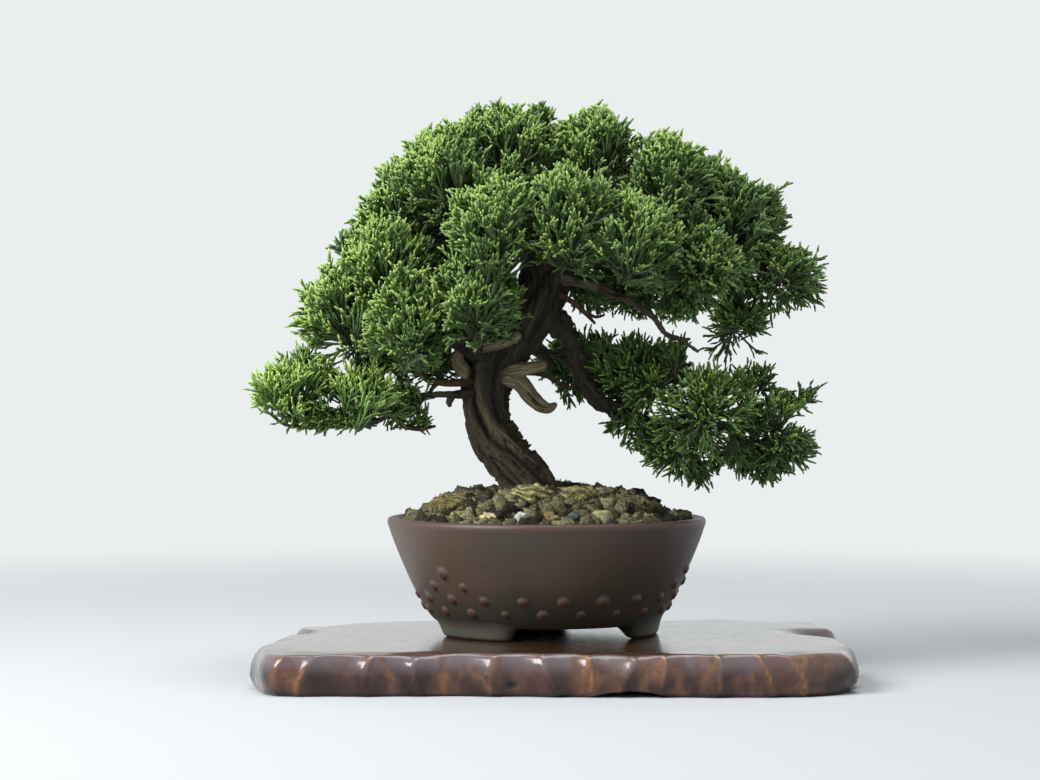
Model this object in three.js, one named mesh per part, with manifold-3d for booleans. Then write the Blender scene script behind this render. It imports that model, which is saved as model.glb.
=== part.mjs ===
// Juniper bonsai in a round studded pot, on a carved slab stand.
// Millimetres, +Z up, front toward -Y. The origin is on the stand's underside, straight below the pot's
// axis, and the heights below are above that underside unless a name says otherwise.

import * as THREE from 'three';
import { mergeVertices } from 'three/addons/utils/BufferGeometryUtils.js';
import Module from 'manifold-3d';

const wasm = await Module();
wasm.setup();

// ---------------------------------------------------------------- driving dimensions

const GAP = 0.35;                    // clearance between touching pieces

const STAND_THICKNESS = 16.5;
const STAND_CENTRE = [3, -14];
const STAND_OUTLINE = [              // x, y of the widest line round the carved edge
  [-117, -77], [-109, -86], [-84, -88.5], [-46, -88], [-2, -90.5], [32, -91.5], [70, -92], [100, -89],
  [118, -81], [125, -58], [124.5, -24], [121, 2], [127, 20], [124, 45], [109, 58], [66, 62], [10, 63],
  [-44, 62], [-80, 57], [-100, 43], [-112, 24], [-109, 8], [-115, -12], [-120, -44],
];
const STAND_RIDGES = 31;             // ridges between the scallops carved round the edge
const STAND_SCALLOP_DEPTH = 2.4;
const STAND_ARCH = { x: 32, halfWidth: 13, height: 2.4, depth: 26 };  // hollow under the front edge

const POT_FOOT_HEIGHT = 5.6;         // heights of the pot are above the stand's top
const POT_HEIGHT = 49.2;
const POT_RIM_RADIUS = 67.5;
const POT_FLOOR_TOP = 10.2;
const POT_SEGMENTS = 42;
const POT_BASE = STAND_THICKNESS + GAP;
const FOOT_AZIMUTHS = [-45, 75, 195]; // degrees from the front, turning toward +X
const FOOT_HALF_ANGLE = { top: 28, bottom: 24.5 };
const FOOT_RADII = { bottom: [43, 47.3], top: [38.5, 47.9] }; // inner and outer
const STUDS_PER_ROW = 21;
const STUD_RADIUS = 2.1;
const STUD_HEIGHT = 1.7;
const STUD_ROW_HEIGHTS = [11.7, 17, 22.5, 27.8];
const DRAIN_HOLE_RADIUS = 6.5;
const DRAIN_HOLE_X = 20;

const SCREEN = { size: 18, thickness: 0.8, pitch: 4.6, opening: 3.4 };
const CLIP_WIRE_RADIUS = 0.6;
const ANCHOR_WIRE_RADIUS = 0.75;

const SOIL_EDGE_HEIGHT = 62;         // where the soil meets the pot's wall
const SOIL_MOUND = { centre: [-1, 0], rise: 14, top: 36, foot: 61 };  // the mound's radii and rise

const TRUNK_SIDES = 14;
const BRANCH_SIDES = 6;
const TRUNK_TWIST = 2.6;             // radians that the ridged section turns from base to leader

// Outer wall of the pot, as radius and height above the stand's top.
const POT_OUTSIDE = [
  [46.8, POT_FOOT_HEIGHT], [49.2, 7.5], [56.2, 19], [60.9, 29.2], [65.4, 40.3],
  [67.2, 45.6], [POT_RIM_RADIUS, 47.6], [66.6, POT_HEIGHT],
];
const POT_INSIDE = [
  [64.2, POT_HEIGHT], [62.9, 47.4], [56.8, 29.2], [52, 19], [46.8, 11.8], [44.6, POT_FLOOR_TOP],
];

// ---------------------------------------------------------------- the tree's plan

// Each limb runs through points of [x, y, z, radius].
const TRUNK_LINE = [
  [-5, 0, 65, 13.6], [-8, 0, 78, 11.4], [-14.5, 0, 88, 10], [-21.5, 1, 98.5, 9.6], [-25.5, 2, 109, 9.4],
  [-26, 2, 118, 9.8], [-24, 1, 127, 10.2], [-18, -1, 137, 9.8], [-9.5, -2, 147.5, 9.6],
  [-2.5, 0, 160, 9.8], [0, 1, 173, 10.2], [0.5, 2, 184, 9.6], [0, 1, 194.5, 7.4], [-3, 0, 204, 5],
];
const LEADER_FORKS = [
  [[-2, 0, 199, 4.6], [-9, -1, 209, 3.2], [-14, -2, 221, 1.6]],
  [[-1, 0, 197, 4.8], [9, 0, 207, 3.4], [20, 0, 219, 1.6]],
];
const ROOTS = [
  [[-5, 0, 73, 7], [8, 5, 68, 4.6], [20, 10, 61, 2.6], [30, 14, 53, 1.2]],
  [[-8, 0, 73, 7], [-20, 3, 68, 4.6], [-31, 6, 61, 2.8], [-41, 9, 53, 1.2]],
  [[-8, 0, 72, 7], [-17, -7, 66, 4.4], [-26, -14, 59, 2.6], [-33, -20, 51, 1.2]],
  [[-7, 0, 73, 7], [-7, -11, 67, 4.6], [-8, -22, 60, 2.6], [-10, -31, 51, 1.2]],
  [[-5, 0, 73, 7], [5, -9, 67, 4.6], [15, -18, 60, 2.6], [24, -26, 52, 1.2]],
  [[-6, 2, 67, 7], [-6, 12, 60, 4.2], [-6, 24, 52, 2.2], [-6, 33, 45, 1.2]],
];
const HANGING_JIN = [[-21, -4, 126, 4.2], [-13, -5, 122.5, 3.8], [-7.5, -6, 114.8, 3.4], [-3, -6, 111.6, 2.6],
  [1.5, -6, 111.2, 1.9], [4.6, -6, 114, 0.8]];
const RIGHT_STUB = [[-20, -5, 128, 4.2], [-9, -7, 129.5, 3.2], [0.5, -8, 130.2, 2.5]];
const FRONT_STUB = [[-26, -6, 137, 3.2], [-19, -10, 139.5, 2.7], [-11.5, -12, 143, 2]];
const LEFT_KNOB = [[-31, -1, 126, 4.2], [-36.5, -3, 129, 3.8], [-38.8, -3, 133.5, 3.2], [-37, -3, 137, 2.2]];

const BRANCHES = {
  low_left: [
    [[-27, 0, 121, 3.8], [-35, -2, 118, 2.7], [-46, -4, 116, 2.3], [-56, -4, 116.5, 2.1], [-66, -5, 114.5, 2],
      [-77, -6, 112, 1.8], [-94, -4, 111, 1.5], [-107, -4, 114.5, 1.2]],
    [[-48, -3, 116, 1.9], [-53, 1, 115, 1.6], [-58, 5, 113, 1.1]],
    [[-66, -5, 114.5, 1.9], [-76, -6, 118, 1.5], [-86, -6, 119, 1.1]],
  ],
  left: [
    [[-22, -2, 131, 5.6], [-38, -6, 142, 4.3], [-51, -8, 147, 3.7], [-64, -8, 152, 3], [-77, -6, 156, 2.2],
      [-90, -6, 159, 1.4]],
    [[-62, -8, 151, 3], [-66, -14, 160, 2.3], [-65, -20, 172, 1.4]],
    [[-42, -6, 143.5, 3.8], [-48, -20, 146, 2.8], [-54, -32, 149, 1.5]],
    [[-30, -4, 137, 4], [-31, -20, 144, 3], [-30, -36, 156, 1.6]],
  ],
  upper_left: [
    [[0, -2, 173, 5.4], [-11, -5, 183, 4.4], [-24, -6, 191, 3.5], [-39, -4, 197, 2.7], [-52, -1, 201, 2],
      [-62, 2, 204, 1.2]],
    [[-22, -6, 190, 2.6], [-31, -12, 200, 2], [-38, -16, 211, 1.2]],
    [[-33, -5, 194.5, 2.4], [-47, -12, 189, 1.8], [-60, -18, 182, 1.2]],
  ],
  low_right: [
    [[-1, 0, 152, 6], [7.5, 2, 145.5, 4.3], [11.5, 4, 137, 3.9], [14.5, 4, 126, 3.6], [19.5, 2, 117.5, 3.3],
      [29, 0, 111, 2.9], [44, -2, 106.5, 2.4], [65, -6, 105, 1.9], [92, -4, 103.5, 1.2]],
    [[15.5, 4, 123.5, 2.6], [26, 7, 125, 2], [38, 9, 127.5, 1.3]],
    [[40, -1, 107.5, 2], [47, 0, 102, 1.6], [54, 0, 97, 1.1]],
    [[52, -3, 105.7, 2], [60, -9, 110, 1.5], [67, -13, 114, 1.1]],
  ],
  right: [
    [[1, 2, 173, 5.4], [14, 4, 174.5, 4], [28, 2, 176, 3.3], [44, -3, 176.5, 2.8], [65, -4, 175, 2.2],
      [84, -3, 173, 1.7], [101, 0, 171, 1.1]],
    [[20, 3, 175, 3], [31, 14, 171, 2.2], [41, 25, 166, 1.3]],
    [[52, -4, 176, 2.2], [58, -14, 175, 1.7], [63, -24, 173.5, 1.1]],
    [[70, -3, 174.5, 1.9], [78, 1, 164, 1.5], [82, 4, 152, 1]],
  ],
  upper_right: [
    [[0, 1, 184, 5.4], [12, 0, 191.5, 4.2], [28, -2, 197, 3.4], [46, -3, 200.5, 2.7], [64, 0, 200.5, 2],
      [80, 4, 199, 1.2]],
    [[34, -3, 198.5, 2.6], [42, -6, 205, 1.9], [48, -8, 211, 1.2]],
    [[22, -1, 195, 2.8], [30, -20, 191, 2.2], [37, -42, 185, 1.2]],
  ],
  pale_right: [
    [[1, -3, 168, 3.4], [9.5, -5, 166, 2.5], [17, -6, 164.5, 2.2], [26, -6, 161.5, 2], [37, -6, 156, 1.8],
      [45, -6, 150.5, 1.7], [51, -6, 143, 1.5], [62, -8, 137, 1]],
    [[5, -4, 161, 2], [11, -7, 157, 1.4], [15.5, -8, 153, 1.2], [21, -9, 147.5, 0.8]],
  ],
  back_low: [
    [[-10, 4, 142, 4.4], [-3, 18, 137, 3.2], [4, 34, 132, 2.3], [10, 48, 130.5, 1.2]],
  ],
  back: [
    [[0, 4, 169, 6], [2, 22, 177, 4.2], [10, 33, 183, 3.2], [28, 41, 186, 2.3], [51, 44, 187, 1.3]],
    [[2, 20, 176.5, 3.4], [-14, 32, 182, 2.5], [-34, 38, 185, 1.9], [-54, 40, 187, 1.2]],
    [[4, 26, 179, 3], [3, 36, 193, 2.2], [0, 43, 209, 1.2]],
  ],
  front: [
    [[0, -4, 173, 4.8], [-1, -19, 179, 3.6], [-5, -33, 185, 2.8], [-12, -41, 188, 2], [-20, -46, 190, 1.2]],
    [[-3, -28, 183, 2.4], [4, -38, 188, 1.8], [10, -46, 193, 1.1]],
  ],
};

// The foliage clouds: centre x, y, z and half sizes x, y, z.
const PADS = {
  low_left_tip: [-104.5, -4, 119.5, 22, 22, 13.6],
  low_left_middle: [-77, -8, 116, 20, 26, 14.4],
  low_left_inner: [-57, 4, 112.5, 14, 18, 12.4],
  left_tip: [-87, -6, 161, 20, 26, 18.4],
  left_middle: [-65, -22, 175, 20, 25, 19],
  left_front: [-55, -34, 150, 20.5, 22, 15.6],
  centre_left_front: [-30, -42, 160, 18.4, 23, 20.4],
  left_shoulder: [-61, 4, 203, 20.5, 29, 20.6],
  left_crown: [-40, -18, 214, 20, 27, 19.8],
  apex_left: [-15, -4, 223, 21.6, 31, 20.2],
  apex_right: [22, 0, 222, 20.6, 31, 19.6],
  front_crown_left: [-20, -46, 190, 20.4, 22, 18.4],
  front_crown_right: [9, -48, 192, 19.6, 22, 19.6],
  right_crown: [49, -8, 210, 21.4, 31, 20],
  front_right: [37, -44, 185, 20, 23, 17],
  right_shoulder: [80, 4, 199, 22.6, 31, 19.6],
  right_front_low: [63, -26, 173, 20.6, 25, 17.6],
  right_tip: [100.5, 0, 172, 20.6, 27, 16],
  right_hanging: [82, 4, 151, 14.8, 20, 14.6],
  right_under: [41, 26, 165, 21, 23, 15],
  low_right_upper: [40, 10, 127.5, 24.6, 27, 16.2],
  low_right_tip: [95, -2, 106, 20.6, 25, 20],
  low_right_middle: [67, -14, 113, 21, 25, 18.2],
  low_right_low: [53, 0, 96.5, 22, 23, 14.4],
  back_low: [9, 48, 131, 15, 19, 14.4],
  back_left: [-56, 39, 185, 29, 27, 25.5],
  back_right: [54, 41, 186, 30, 26, 24.5],
  back_top: [0, 40, 209, 31, 28, 26.5],
};
const PAD_LUMPS = 0.16;              // how deep the lumps cut into a cloud

// Moss and stones: centre x, y and half sizes x, y, z. Each sits half sunk in the soil's surface.
const MOSS = {
  left: [-35, -20, 13, 12, 5],
  front: [-6, -37, 8.5, 7, 4.4],
  right: [12.5, -33, 7.5, 6.5, 3.8],
  mound: [32, -22, 11, 10, 4.4],
  back: [6, 36, 15, 10, 4.6],
};
const STONE_RING_RADIUS = 51.5;
const STONES = [                     // x on the ring, half sizes x, y, z
  [-36, 4.6, 3.8, 3.4], [-23.5, 4.2, 3.6, 3.4], [-11, 5, 4.2, 2.6], [1, 4.6, 3.8, 3.2],
  [11, 4.2, 3.8, 3.6], [21.5, 5.2, 4.4, 4], [32, 4, 3.6, 3.2], [41, 3.8, 3.8, 3],
];

// ---------------------------------------------------------------- solids

const degrees = THREE.MathUtils.degToRad;
const smoothstep = THREE.MathUtils.smoothstep;

/** A solid from a three.js geometry: seams joined, flat triangles dropped, faces turned outward. */
function solidOf(geometry) {
  geometry.deleteAttribute('normal');
  geometry.deleteAttribute('uv');
  const joined = mergeVertices(geometry, 1e-4);
  const vertices = joined.attributes.position.array;
  const index = joined.index.array;
  const triangles = [];
  const [a, b, c] = [new THREE.Vector3(), new THREE.Vector3(), new THREE.Vector3()];
  let volume = 0;
  for (let i = 0; i < index.length; i += 3) {
    const [p, q, r] = [index[i], index[i + 1], index[i + 2]];
    if (p === q || q === r || r === p) continue;
    a.fromArray(vertices, 3 * p);
    b.fromArray(vertices, 3 * q);
    c.fromArray(vertices, 3 * r);
    volume += a.dot(b.cross(c));
    triangles.push([p, q, r]);
  }
  const order = volume > 0 ? (t) => t : ([p, q, r]) => [p, r, q];
  return new wasm.Manifold(new wasm.Mesh({
    numProp: 3,
    vertProperties: new Float32Array(vertices),
    triVerts: new Uint32Array(triangles.flatMap(order)),
  }));
}

/** The largest of the bodies that a cut leaves. */
function largest(solid) {
  return solid.decompose().reduce((best, body) => (body.volume() > best.volume() ? body : best));
}

function geometryOf(solid) {
  const mesh = solid.getMesh();
  const geometry = new THREE.BufferGeometry();
  geometry.setAttribute('position', new THREE.BufferAttribute(new Float32Array(mesh.vertProperties), 3));
  geometry.setIndex(new THREE.BufferAttribute(new Uint32Array(mesh.triVerts), 1));
  geometry.computeVertexNormals();
  return geometry;
}

const join = (solids) => solids.reduce((whole, solid) => whole.add(solid));
const cut = (solid, tools) => tools.reduce((rest, tool) => rest.subtract(tool), solid);

/** Move every vertex of a geometry by a function that changes the vector it is given. */
function shape(geometry, change) {
  const position = geometry.attributes.position;
  const point = new THREE.Vector3();
  for (let i = 0; i < position.count; i += 1) {
    point.fromBufferAttribute(position, i);
    change(point);
    position.setXYZ(i, point.x, point.y, point.z);
  }
  return geometry;
}

function lathe(profile, segments) {
  const points = profile.map(([radius, height]) => new THREE.Vector2(radius, height));
  return new THREE.LatheGeometry(points, segments).rotateX(Math.PI / 2);
}

/** Frames along a curve that don't spin about it. */
function framesAlong(curve, steps) {
  const frames = [];
  let side = new THREE.Vector3(1, 0, 0);
  for (let i = 0; i <= steps; i += 1) {
    const forward = curve.getTangentAt(i / steps);
    side = side.clone().addScaledVector(forward, -side.dot(forward));
    if (side.length() < 0.05) side.set(0, 1, 0).addScaledVector(forward, -forward.y);
    side.normalize();
    frames.push({ centre: curve.getPointAt(i / steps), side, across: forward.clone().cross(side) });
  }
  return frames;
}

/** A tapering limb: a cylinder bent along its line, with a section that may be ridged and twisted. */
function limb(line, sides, { stepsPerPoint = 2, ridges = null, extra = 0 } = {}) {
  const curve = new THREE.CatmullRomCurve3(line.map(([x, y, z]) => new THREE.Vector3(x, y, z)), false, 'centripetal');
  const steps = (line.length - 1) * stepsPerPoint;
  const frames = framesAlong(curve, steps);
  const lengths = curve.getLengths(200 * (line.length - 1));
  const total = lengths[lengths.length - 1];
  const stations = line.map((_, i) => lengths[200 * i] / total);
  const radiusAt = (t) => {
    let k = 0;
    while (k < stations.length - 2 && t > stations[k + 1]) k += 1;
    const f = THREE.MathUtils.clamp((t - stations[k]) / (stations[k + 1] - stations[k]), 0, 1);
    return THREE.MathUtils.lerp(line[k][3], line[k + 1][3], f);
  };
  const cylinder = new THREE.CylinderGeometry(1, 1, 1, sides, steps);
  return solidOf(shape(cylinder, (point) => {
    const t = point.y + 0.5;
    const frame = frames[Math.round(t * steps)];
    const angle = Math.atan2(point.z, point.x);
    const reach = Math.hypot(point.x, point.z) * (radiusAt(t) * (ridges ? ridges(angle, t) : 1) + extra);
    const end = (t < 1e-6 ? -1 : t > 1 - 1e-6 ? 1 : 0) * extra;
    const along = frame.side.clone().cross(frame.across);
    point.copy(frame.centre)
      .addScaledVector(frame.side, reach * Math.cos(angle))
      .addScaledVector(frame.across, reach * Math.sin(angle))
      .addScaledVector(along, end);
  }));
}

/** An even wire along points, made from a many-sided section swept along them. */
function wire(points, radius, steps) {
  const path = new THREE.CatmullRomCurve3(points.map((p) => new THREE.Vector3(...p)), false, 'centripetal');
  const section = new THREE.Shape();
  const sides = 6;
  for (let i = 0; i < sides; i += 1) {
    const angle = (2 * Math.PI * i) / sides;
    const at = [radius * Math.cos(angle), radius * Math.sin(angle)];
    if (i === 0) section.moveTo(...at); else section.lineTo(...at);
  }
  return solidOf(new THREE.ExtrudeGeometry(section, { steps, extrudePath: path, bevelEnabled: false }));
}

/** Slow waves over a direction, between 0 and 1. */
function waves(direction, phase) {
  const { x, y, z } = direction;
  const sum = Math.sin(4.1 * x + 2.3 * y + phase) + Math.sin(3.7 * y - 3.1 * z + 2 * phase)
    + Math.sin(4.6 * z + 2.9 * x + 3 * phase);
  return 0.5 + sum / 6;
}

function at(geometry, [x, y, z]) {
  return geometry.translate(x, y, z);
}

// ---------------------------------------------------------------- display stand

/** How far a scallop cuts in, at a share of the way round the edge: nothing on a ridge, most between two. */
function standScallop(share) {
  const place = share * STAND_RIDGES + 0.45 * Math.sin(2 * Math.PI * 5 * share) + 0.3 * Math.sin(2 * Math.PI * 9 * share);
  return STAND_SCALLOP_DEPTH * Math.abs(Math.sin(Math.PI * place));
}

function displayStand() {
  // Distance in from the outline, height, and how strongly the scallops cut in at that height.
  const levels = [[3, 0, 0.5], [0.8, 2.4, 0.9], [0, 6, 1], [1.6, 10.8, 1], [4, 14.6, 0.7],
    [6.4, STAND_THICKNESS, 0.5]];
  const segments = 100;
  const outline = new THREE.CatmullRomCurve3(STAND_OUTLINE.map(([x, y]) => new THREE.Vector3(x, y, 0)), true, 'centripetal');
  const edge = outline.getSpacedPoints(segments);
  const body = lathe([[0, 0], ...levels.map(([, height], i) => [1 + i, height]), [0, STAND_THICKNESS]], segments);
  const centre = new THREE.Vector3(...STAND_CENTRE, 0);
  shape(body, (point) => {
    const ring = Math.round(Math.hypot(point.x, point.y));
    if (ring === 0) {
      point.set(centre.x, centre.y, point.z);
      return;
    }
    const turn = Math.atan2(point.y, point.x) / (2 * Math.PI);
    const k = Math.round((turn < 0 ? turn + 1 : turn) * segments) % segments;
    const inward = centre.clone().sub(edge[k]).normalize();
    const [inset, height, depth] = levels[ring - 1];
    point.copy(edge[k]).addScaledVector(inward, inset + depth * standScallop(k / segments)).setZ(height);
  });
  const { x, halfWidth, height, depth } = STAND_ARCH;
  const hollow = new THREE.CylinderGeometry(1, 1, 2 * depth, 16).scale(halfWidth, 1, height);
  return solidOf(body).subtract(solidOf(at(hollow, [x, STAND_OUTLINE[5][1], 0])));
}

// ---------------------------------------------------------------- pot

const potWallRadius = (height, wall) => {
  const upper = wall.findIndex(([, h], i) => i > 0 && (h - height) * (wall[i - 1][1] - height) <= 0);
  const [[r0, h0], [r1, h1]] = [wall[upper - 1], wall[upper]];
  return r0 + ((r1 - r0) * (height - h0)) / (h1 - h0);
};

function potFoot(azimuth) {
  const sunk = POT_FOOT_HEIGHT + 1;
  const block = new THREE.BoxGeometry(2, 2, 2, 8, 1, 1);
  return solidOf(shape(block, (point) => {
    const low = point.z < 0;
    const half = low ? FOOT_HALF_ANGLE.bottom : FOOT_HALF_ANGLE.top;
    const angle = degrees(azimuth + half * point.x - 90);
    const [inner, outer] = low ? FOOT_RADII.bottom : FOOT_RADII.top;
    const radius = point.y < 0 ? inner : outer;
    point.set(radius * Math.cos(angle), radius * Math.sin(angle), low ? 0 : sunk);
  }));
}

function potStud(azimuth, height) {
  const radius = potWallRadius(height, POT_OUTSIDE);
  const slope = (potWallRadius(height + 1, POT_OUTSIDE) - potWallRadius(height - 1, POT_OUTSIDE)) / 2;
  const dome = lathe([[0, -1.2], [STUD_RADIUS, -1.2], [0.74 * STUD_RADIUS, 0.62 * STUD_HEIGHT], [0, STUD_HEIGHT]], 6);
  dome.rotateY(Math.PI / 2 + Math.atan(slope));
  dome.translate(radius, 0, height);
  return solidOf(dome.rotateZ(degrees(azimuth - 90)));
}

function studPlaces() {
  const step = 360 / STUDS_PER_ROW;
  const [first, second, third, fourth] = STUD_ROW_HEIGHTS;
  const places = [];
  for (let k = 0; k < STUDS_PER_ROW; k += 1) {
    const azimuth = FOOT_AZIMUTHS[0] + k * step;
    places.push([azimuth + step / 2, first], [azimuth, second]);
  }
  for (const azimuth of FOOT_AZIMUTHS) {
    places.push([azimuth - step / 2, third], [azimuth + step / 2, third], [azimuth, fourth]);
  }
  return places;
}

function pot() {
  const profile = [[0, POT_FOOT_HEIGHT], ...POT_OUTSIDE, ...POT_INSIDE, [0, POT_FLOOR_TOP]];
  const bowl = solidOf(lathe(profile, POT_SEGMENTS));
  const solids = [bowl, ...FOOT_AZIMUTHS.map(potFoot), ...studPlaces().map(([a, h]) => potStud(a, h))];
  const holes = [-DRAIN_HOLE_X, DRAIN_HOLE_X].map((x) => {
    const hole = new THREE.CylinderGeometry(DRAIN_HOLE_RADIUS, DRAIN_HOLE_RADIUS, 20, 20).rotateX(Math.PI / 2);
    return solidOf(at(hole, [x, 0, POT_FOOT_HEIGHT]));
  });
  return cut(join(solids), holes).translate([0, 0, POT_BASE]);
}

// ---------------------------------------------------------------- drainage screens and wires

const POT_FLOOR = POT_BASE + POT_FLOOR_TOP;
const POT_UNDERSIDE = POT_BASE + POT_FOOT_HEIGHT;
const SCREEN_HEIGHT = POT_FLOOR + GAP + SCREEN.thickness / 2;
const NEAR_OPENING = SCREEN.pitch / 2;   // an opening next to the screen's centre

function drainScreen(x) {
  const { size, thickness, pitch, opening } = SCREEN;
  const openings = [];
  for (let i = -1.5; i <= 1.5; i += 1) {
    for (let j = -1.5; j <= 1.5; j += 1) {
      if (Math.abs(i) + Math.abs(j) > 2.5) continue;      // the corners stay closed
      openings.push(solidOf(at(new THREE.BoxGeometry(opening, opening, 4), [i * pitch, j * pitch, 0])));
    }
  }
  const plate = solidOf(new THREE.BoxGeometry(size, size, thickness));
  return cut(plate, openings).translate([x, 0, SCREEN_HEIGHT]);
}

function screenClip(x) {
  const top = SCREEN_HEIGHT + SCREEN.thickness / 2 + GAP + CLIP_WIRE_RADIUS;
  const under = POT_UNDERSIDE - GAP - CLIP_WIRE_RADIUS;
  const leg = NEAR_OPENING;
  const half = [[leg, top - 1.2], [leg, under + 1.8], [leg + 0.6, under + 0.5], [leg + 2, under], [leg + 7, under - 0.3]];
  const right = half.map(([dx, z]) => [x + dx, -NEAR_OPENING, z]);
  const left = half.map(([dx, z]) => [x - dx, -NEAR_OPENING, z]).reverse();
  const bar = [[x - leg + 0.6, -NEAR_OPENING, top], [x + leg - 0.6, -NEAR_OPENING, top]];
  return wire([...left, ...bar, ...right], CLIP_WIRE_RADIUS, 22);
}

function anchorWire(extra = 0) {
  const under = POT_UNDERSIDE - GAP - ANCHOR_WIRE_RADIUS - 0.2;
  const x = DRAIN_HOLE_X - NEAR_OPENING;
  const y = NEAR_OPENING;
  return wire([
    [-1 + extra, 20, 65.5], [-5, 20, 63.5], [-13, 17.5, 57], [-16.5, 11, 47], [-x, y + 0.6, 35], [-x, y, 25.5],
    [-x + 1.6, y, under + 0.4], [-x + 5, y, under], [x - 5, y, under], [x - 1.6, y, under + 0.4],
    [x, y, 25.5], [x, y + 0.6, 35], [14.5, 11, 47], [9, 17.5, 57], [3.5, 20, 63.5], [1.6 - extra, 20, 65.5],
  ], ANCHOR_WIRE_RADIUS + 1.2 * extra, 32);
}

// ---------------------------------------------------------------- soil, moss and stones

function soilHeight(x, y) {
  const { centre, rise, top, foot } = SOIL_MOUND;
  const radius = Math.hypot(x - centre[0], y - centre[1]);
  const lumps = 0.7 * Math.sin(0.31 * x + 0.4) * Math.sin(0.27 * y + 1.1);
  return SOIL_EDGE_HEIGHT + rise * (1 - smoothstep(radius, top, foot)) + lumps;
}

function mossClump([x, y, rx, ry, rz], phase, extra = 0) {
  const clump = new THREE.IcosahedronGeometry(1, 1);
  return solidOf(at(shape(clump, (point) => {
    const reach = 1 - 0.22 * waves(point, phase);
    point.set(point.x * (rx * reach + extra), point.y * (ry * reach + extra), point.z * (rz * reach + extra));
  }), [x, y, soilHeight(x, y)]));
}

function stone([x, rx, ry, rz], phase, extra = 0) {
  const y = -Math.sqrt(STONE_RING_RADIUS ** 2 - x ** 2);
  const pebble = new THREE.IcosahedronGeometry(1, 1);
  return solidOf(at(shape(pebble, (point) => {
    const reach = 1 - 0.3 * waves(point.clone().multiplyScalar(1.6), phase);
    point.set(point.x * (rx * reach + extra), point.y * (ry * reach + extra), point.z * (rz * reach + extra));
  }), [x, y, soilHeight(x, y) + 0.8]));
}

function soilBed(recesses) {
  const edge = SOIL_EDGE_HEIGHT;
  const innerAt = (z) => potWallRadius(z - POT_BASE, POT_INSIDE) * Math.cos(Math.PI / POT_SEGMENTS) - 2 * GAP;
  const bottom = POT_FLOOR + GAP;
  const wall = [bottom + 2, 37, 47, edge - 0.5].map((z) => [innerAt(z), z]);
  const crown = [56, 49, 42, 34, 20].map((radius) => [radius, edge]);
  const bed = lathe([[0, bottom], [43.5, bottom], ...wall, ...crown, [0, edge]], POT_SEGMENTS);
  shape(bed, (point) => {
    if (point.z > edge - 1e-3) point.z = soilHeight(point.x, point.y);
  });
  const hollowSize = SCREEN.size + 2;
  const hollows = [-DRAIN_HOLE_X, DRAIN_HOLE_X].map((x) => {
    const box = new THREE.BoxGeometry(hollowSize, hollowSize, 8);
    return solidOf(at(box, [x, 0, SCREEN_HEIGHT + SCREEN.thickness / 2 + 2 * GAP + 2 * CLIP_WIRE_RADIUS - 4]));
  });
  return largest(cut(solidOf(bed), [...hollows, ...recesses]));
}

// ---------------------------------------------------------------- tree

function barkRidges(angle, t) {
  const turn = TRUNK_TWIST * t;
  const strips = Math.cos(3 * angle - 3 * turn) * 0.07 + Math.cos(5 * angle - 4 * turn + 1) * 0.05;
  const flare = smoothstep(t, 0, 0.16);
  return 1 + strips * (1.6 - 0.6 * flare) + 0.1 * (1 - flare);
}

function trunk(extra = 0) {
  const main = limb(TRUNK_LINE, TRUNK_SIDES, { extra, ridges: barkRidges });
  const dead = [HANGING_JIN, RIGHT_STUB, FRONT_STUB, LEFT_KNOB].map((line) => limb(line, 8, { extra, stepsPerPoint: 1 }));
  const thin = [...ROOTS, ...LEADER_FORKS].map((line) => limb(line, 5, { extra, stepsPerPoint: 1 }));
  return join([main, ...dead, ...thin]);
}

function branch(lines, extra = 0) {
  return join(lines.map((line, i) => limb(line, BRANCH_SIDES, { extra, stepsPerPoint: i === 0 ? 2 : 1 })));
}

/** A cloud of foliage that stays on its own side of its neighbours. */
function pad(name, phase) {
  const [x, y, z, rx, ry, rz] = PADS[name];
  const centre = new THREE.Vector3(x, y, z);
  const reachTo = (half, direction) => 1 / Math.hypot(direction.x / half[0], direction.y / half[1], direction.z / half[2]);
  const walls = Object.entries(PADS).filter(([other]) => other !== name).map(([, [ox, oy, oz, ...half]]) => {
    const toward = new THREE.Vector3(ox, oy, oz).sub(centre);
    const distance = toward.length();
    toward.normalize();
    const mine = reachTo([rx, ry, rz], toward);
    const theirs = reachTo(half, toward);
    return { toward, at: (distance * mine) / (mine + theirs) - GAP };
  });
  const cloud = new THREE.IcosahedronGeometry(1, 2);
  return solidOf(at(shape(cloud, (point) => {
    const direction = point.clone().normalize();
    const undercut = direction.z < 0 ? 1 + 0.12 * direction.z : 1;
    let reach = reachTo([rx, ry, rz], direction) * undercut * (1.06 - PAD_LUMPS * waves(direction.clone().multiplyScalar(1.5), phase));
    for (const { toward, at: limit } of walls) {
      const facing = direction.dot(toward);
      if (facing > 0) reach = Math.min(reach, limit / facing);
    }
    point.copy(direction.multiplyScalar(reach));
  }), [x, y, z]));
}

// ---------------------------------------------------------------- the object

const bonsai = new THREE.Group();
bonsai.name = 'bonsai';

function addPiece(name, solid, color, roughness, metalness = 0) {
  const mesh = new THREE.Mesh(geometryOf(solid), new THREE.MeshStandardMaterial({ color, roughness, metalness }));
  mesh.name = name;
  bonsai.add(mesh);
}

addPiece('display_stand', displayStand(), 0x4a2513, 0.22);
addPiece('pot', pot(), 0x4f4039, 0.5);
for (const [side, x] of [['left', -DRAIN_HOLE_X], ['right', DRAIN_HOLE_X]]) {
  addPiece(`drain_screen_${side}`, drainScreen(x), 0x2f3a30, 0.6);
  addPiece(`screen_clip_${side}`, screenClip(x), 0x9a9a98, 0.4, 0.9);
}
addPiece('anchor_wire', anchorWire(), 0x9a9a98, 0.4, 0.9);

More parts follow.
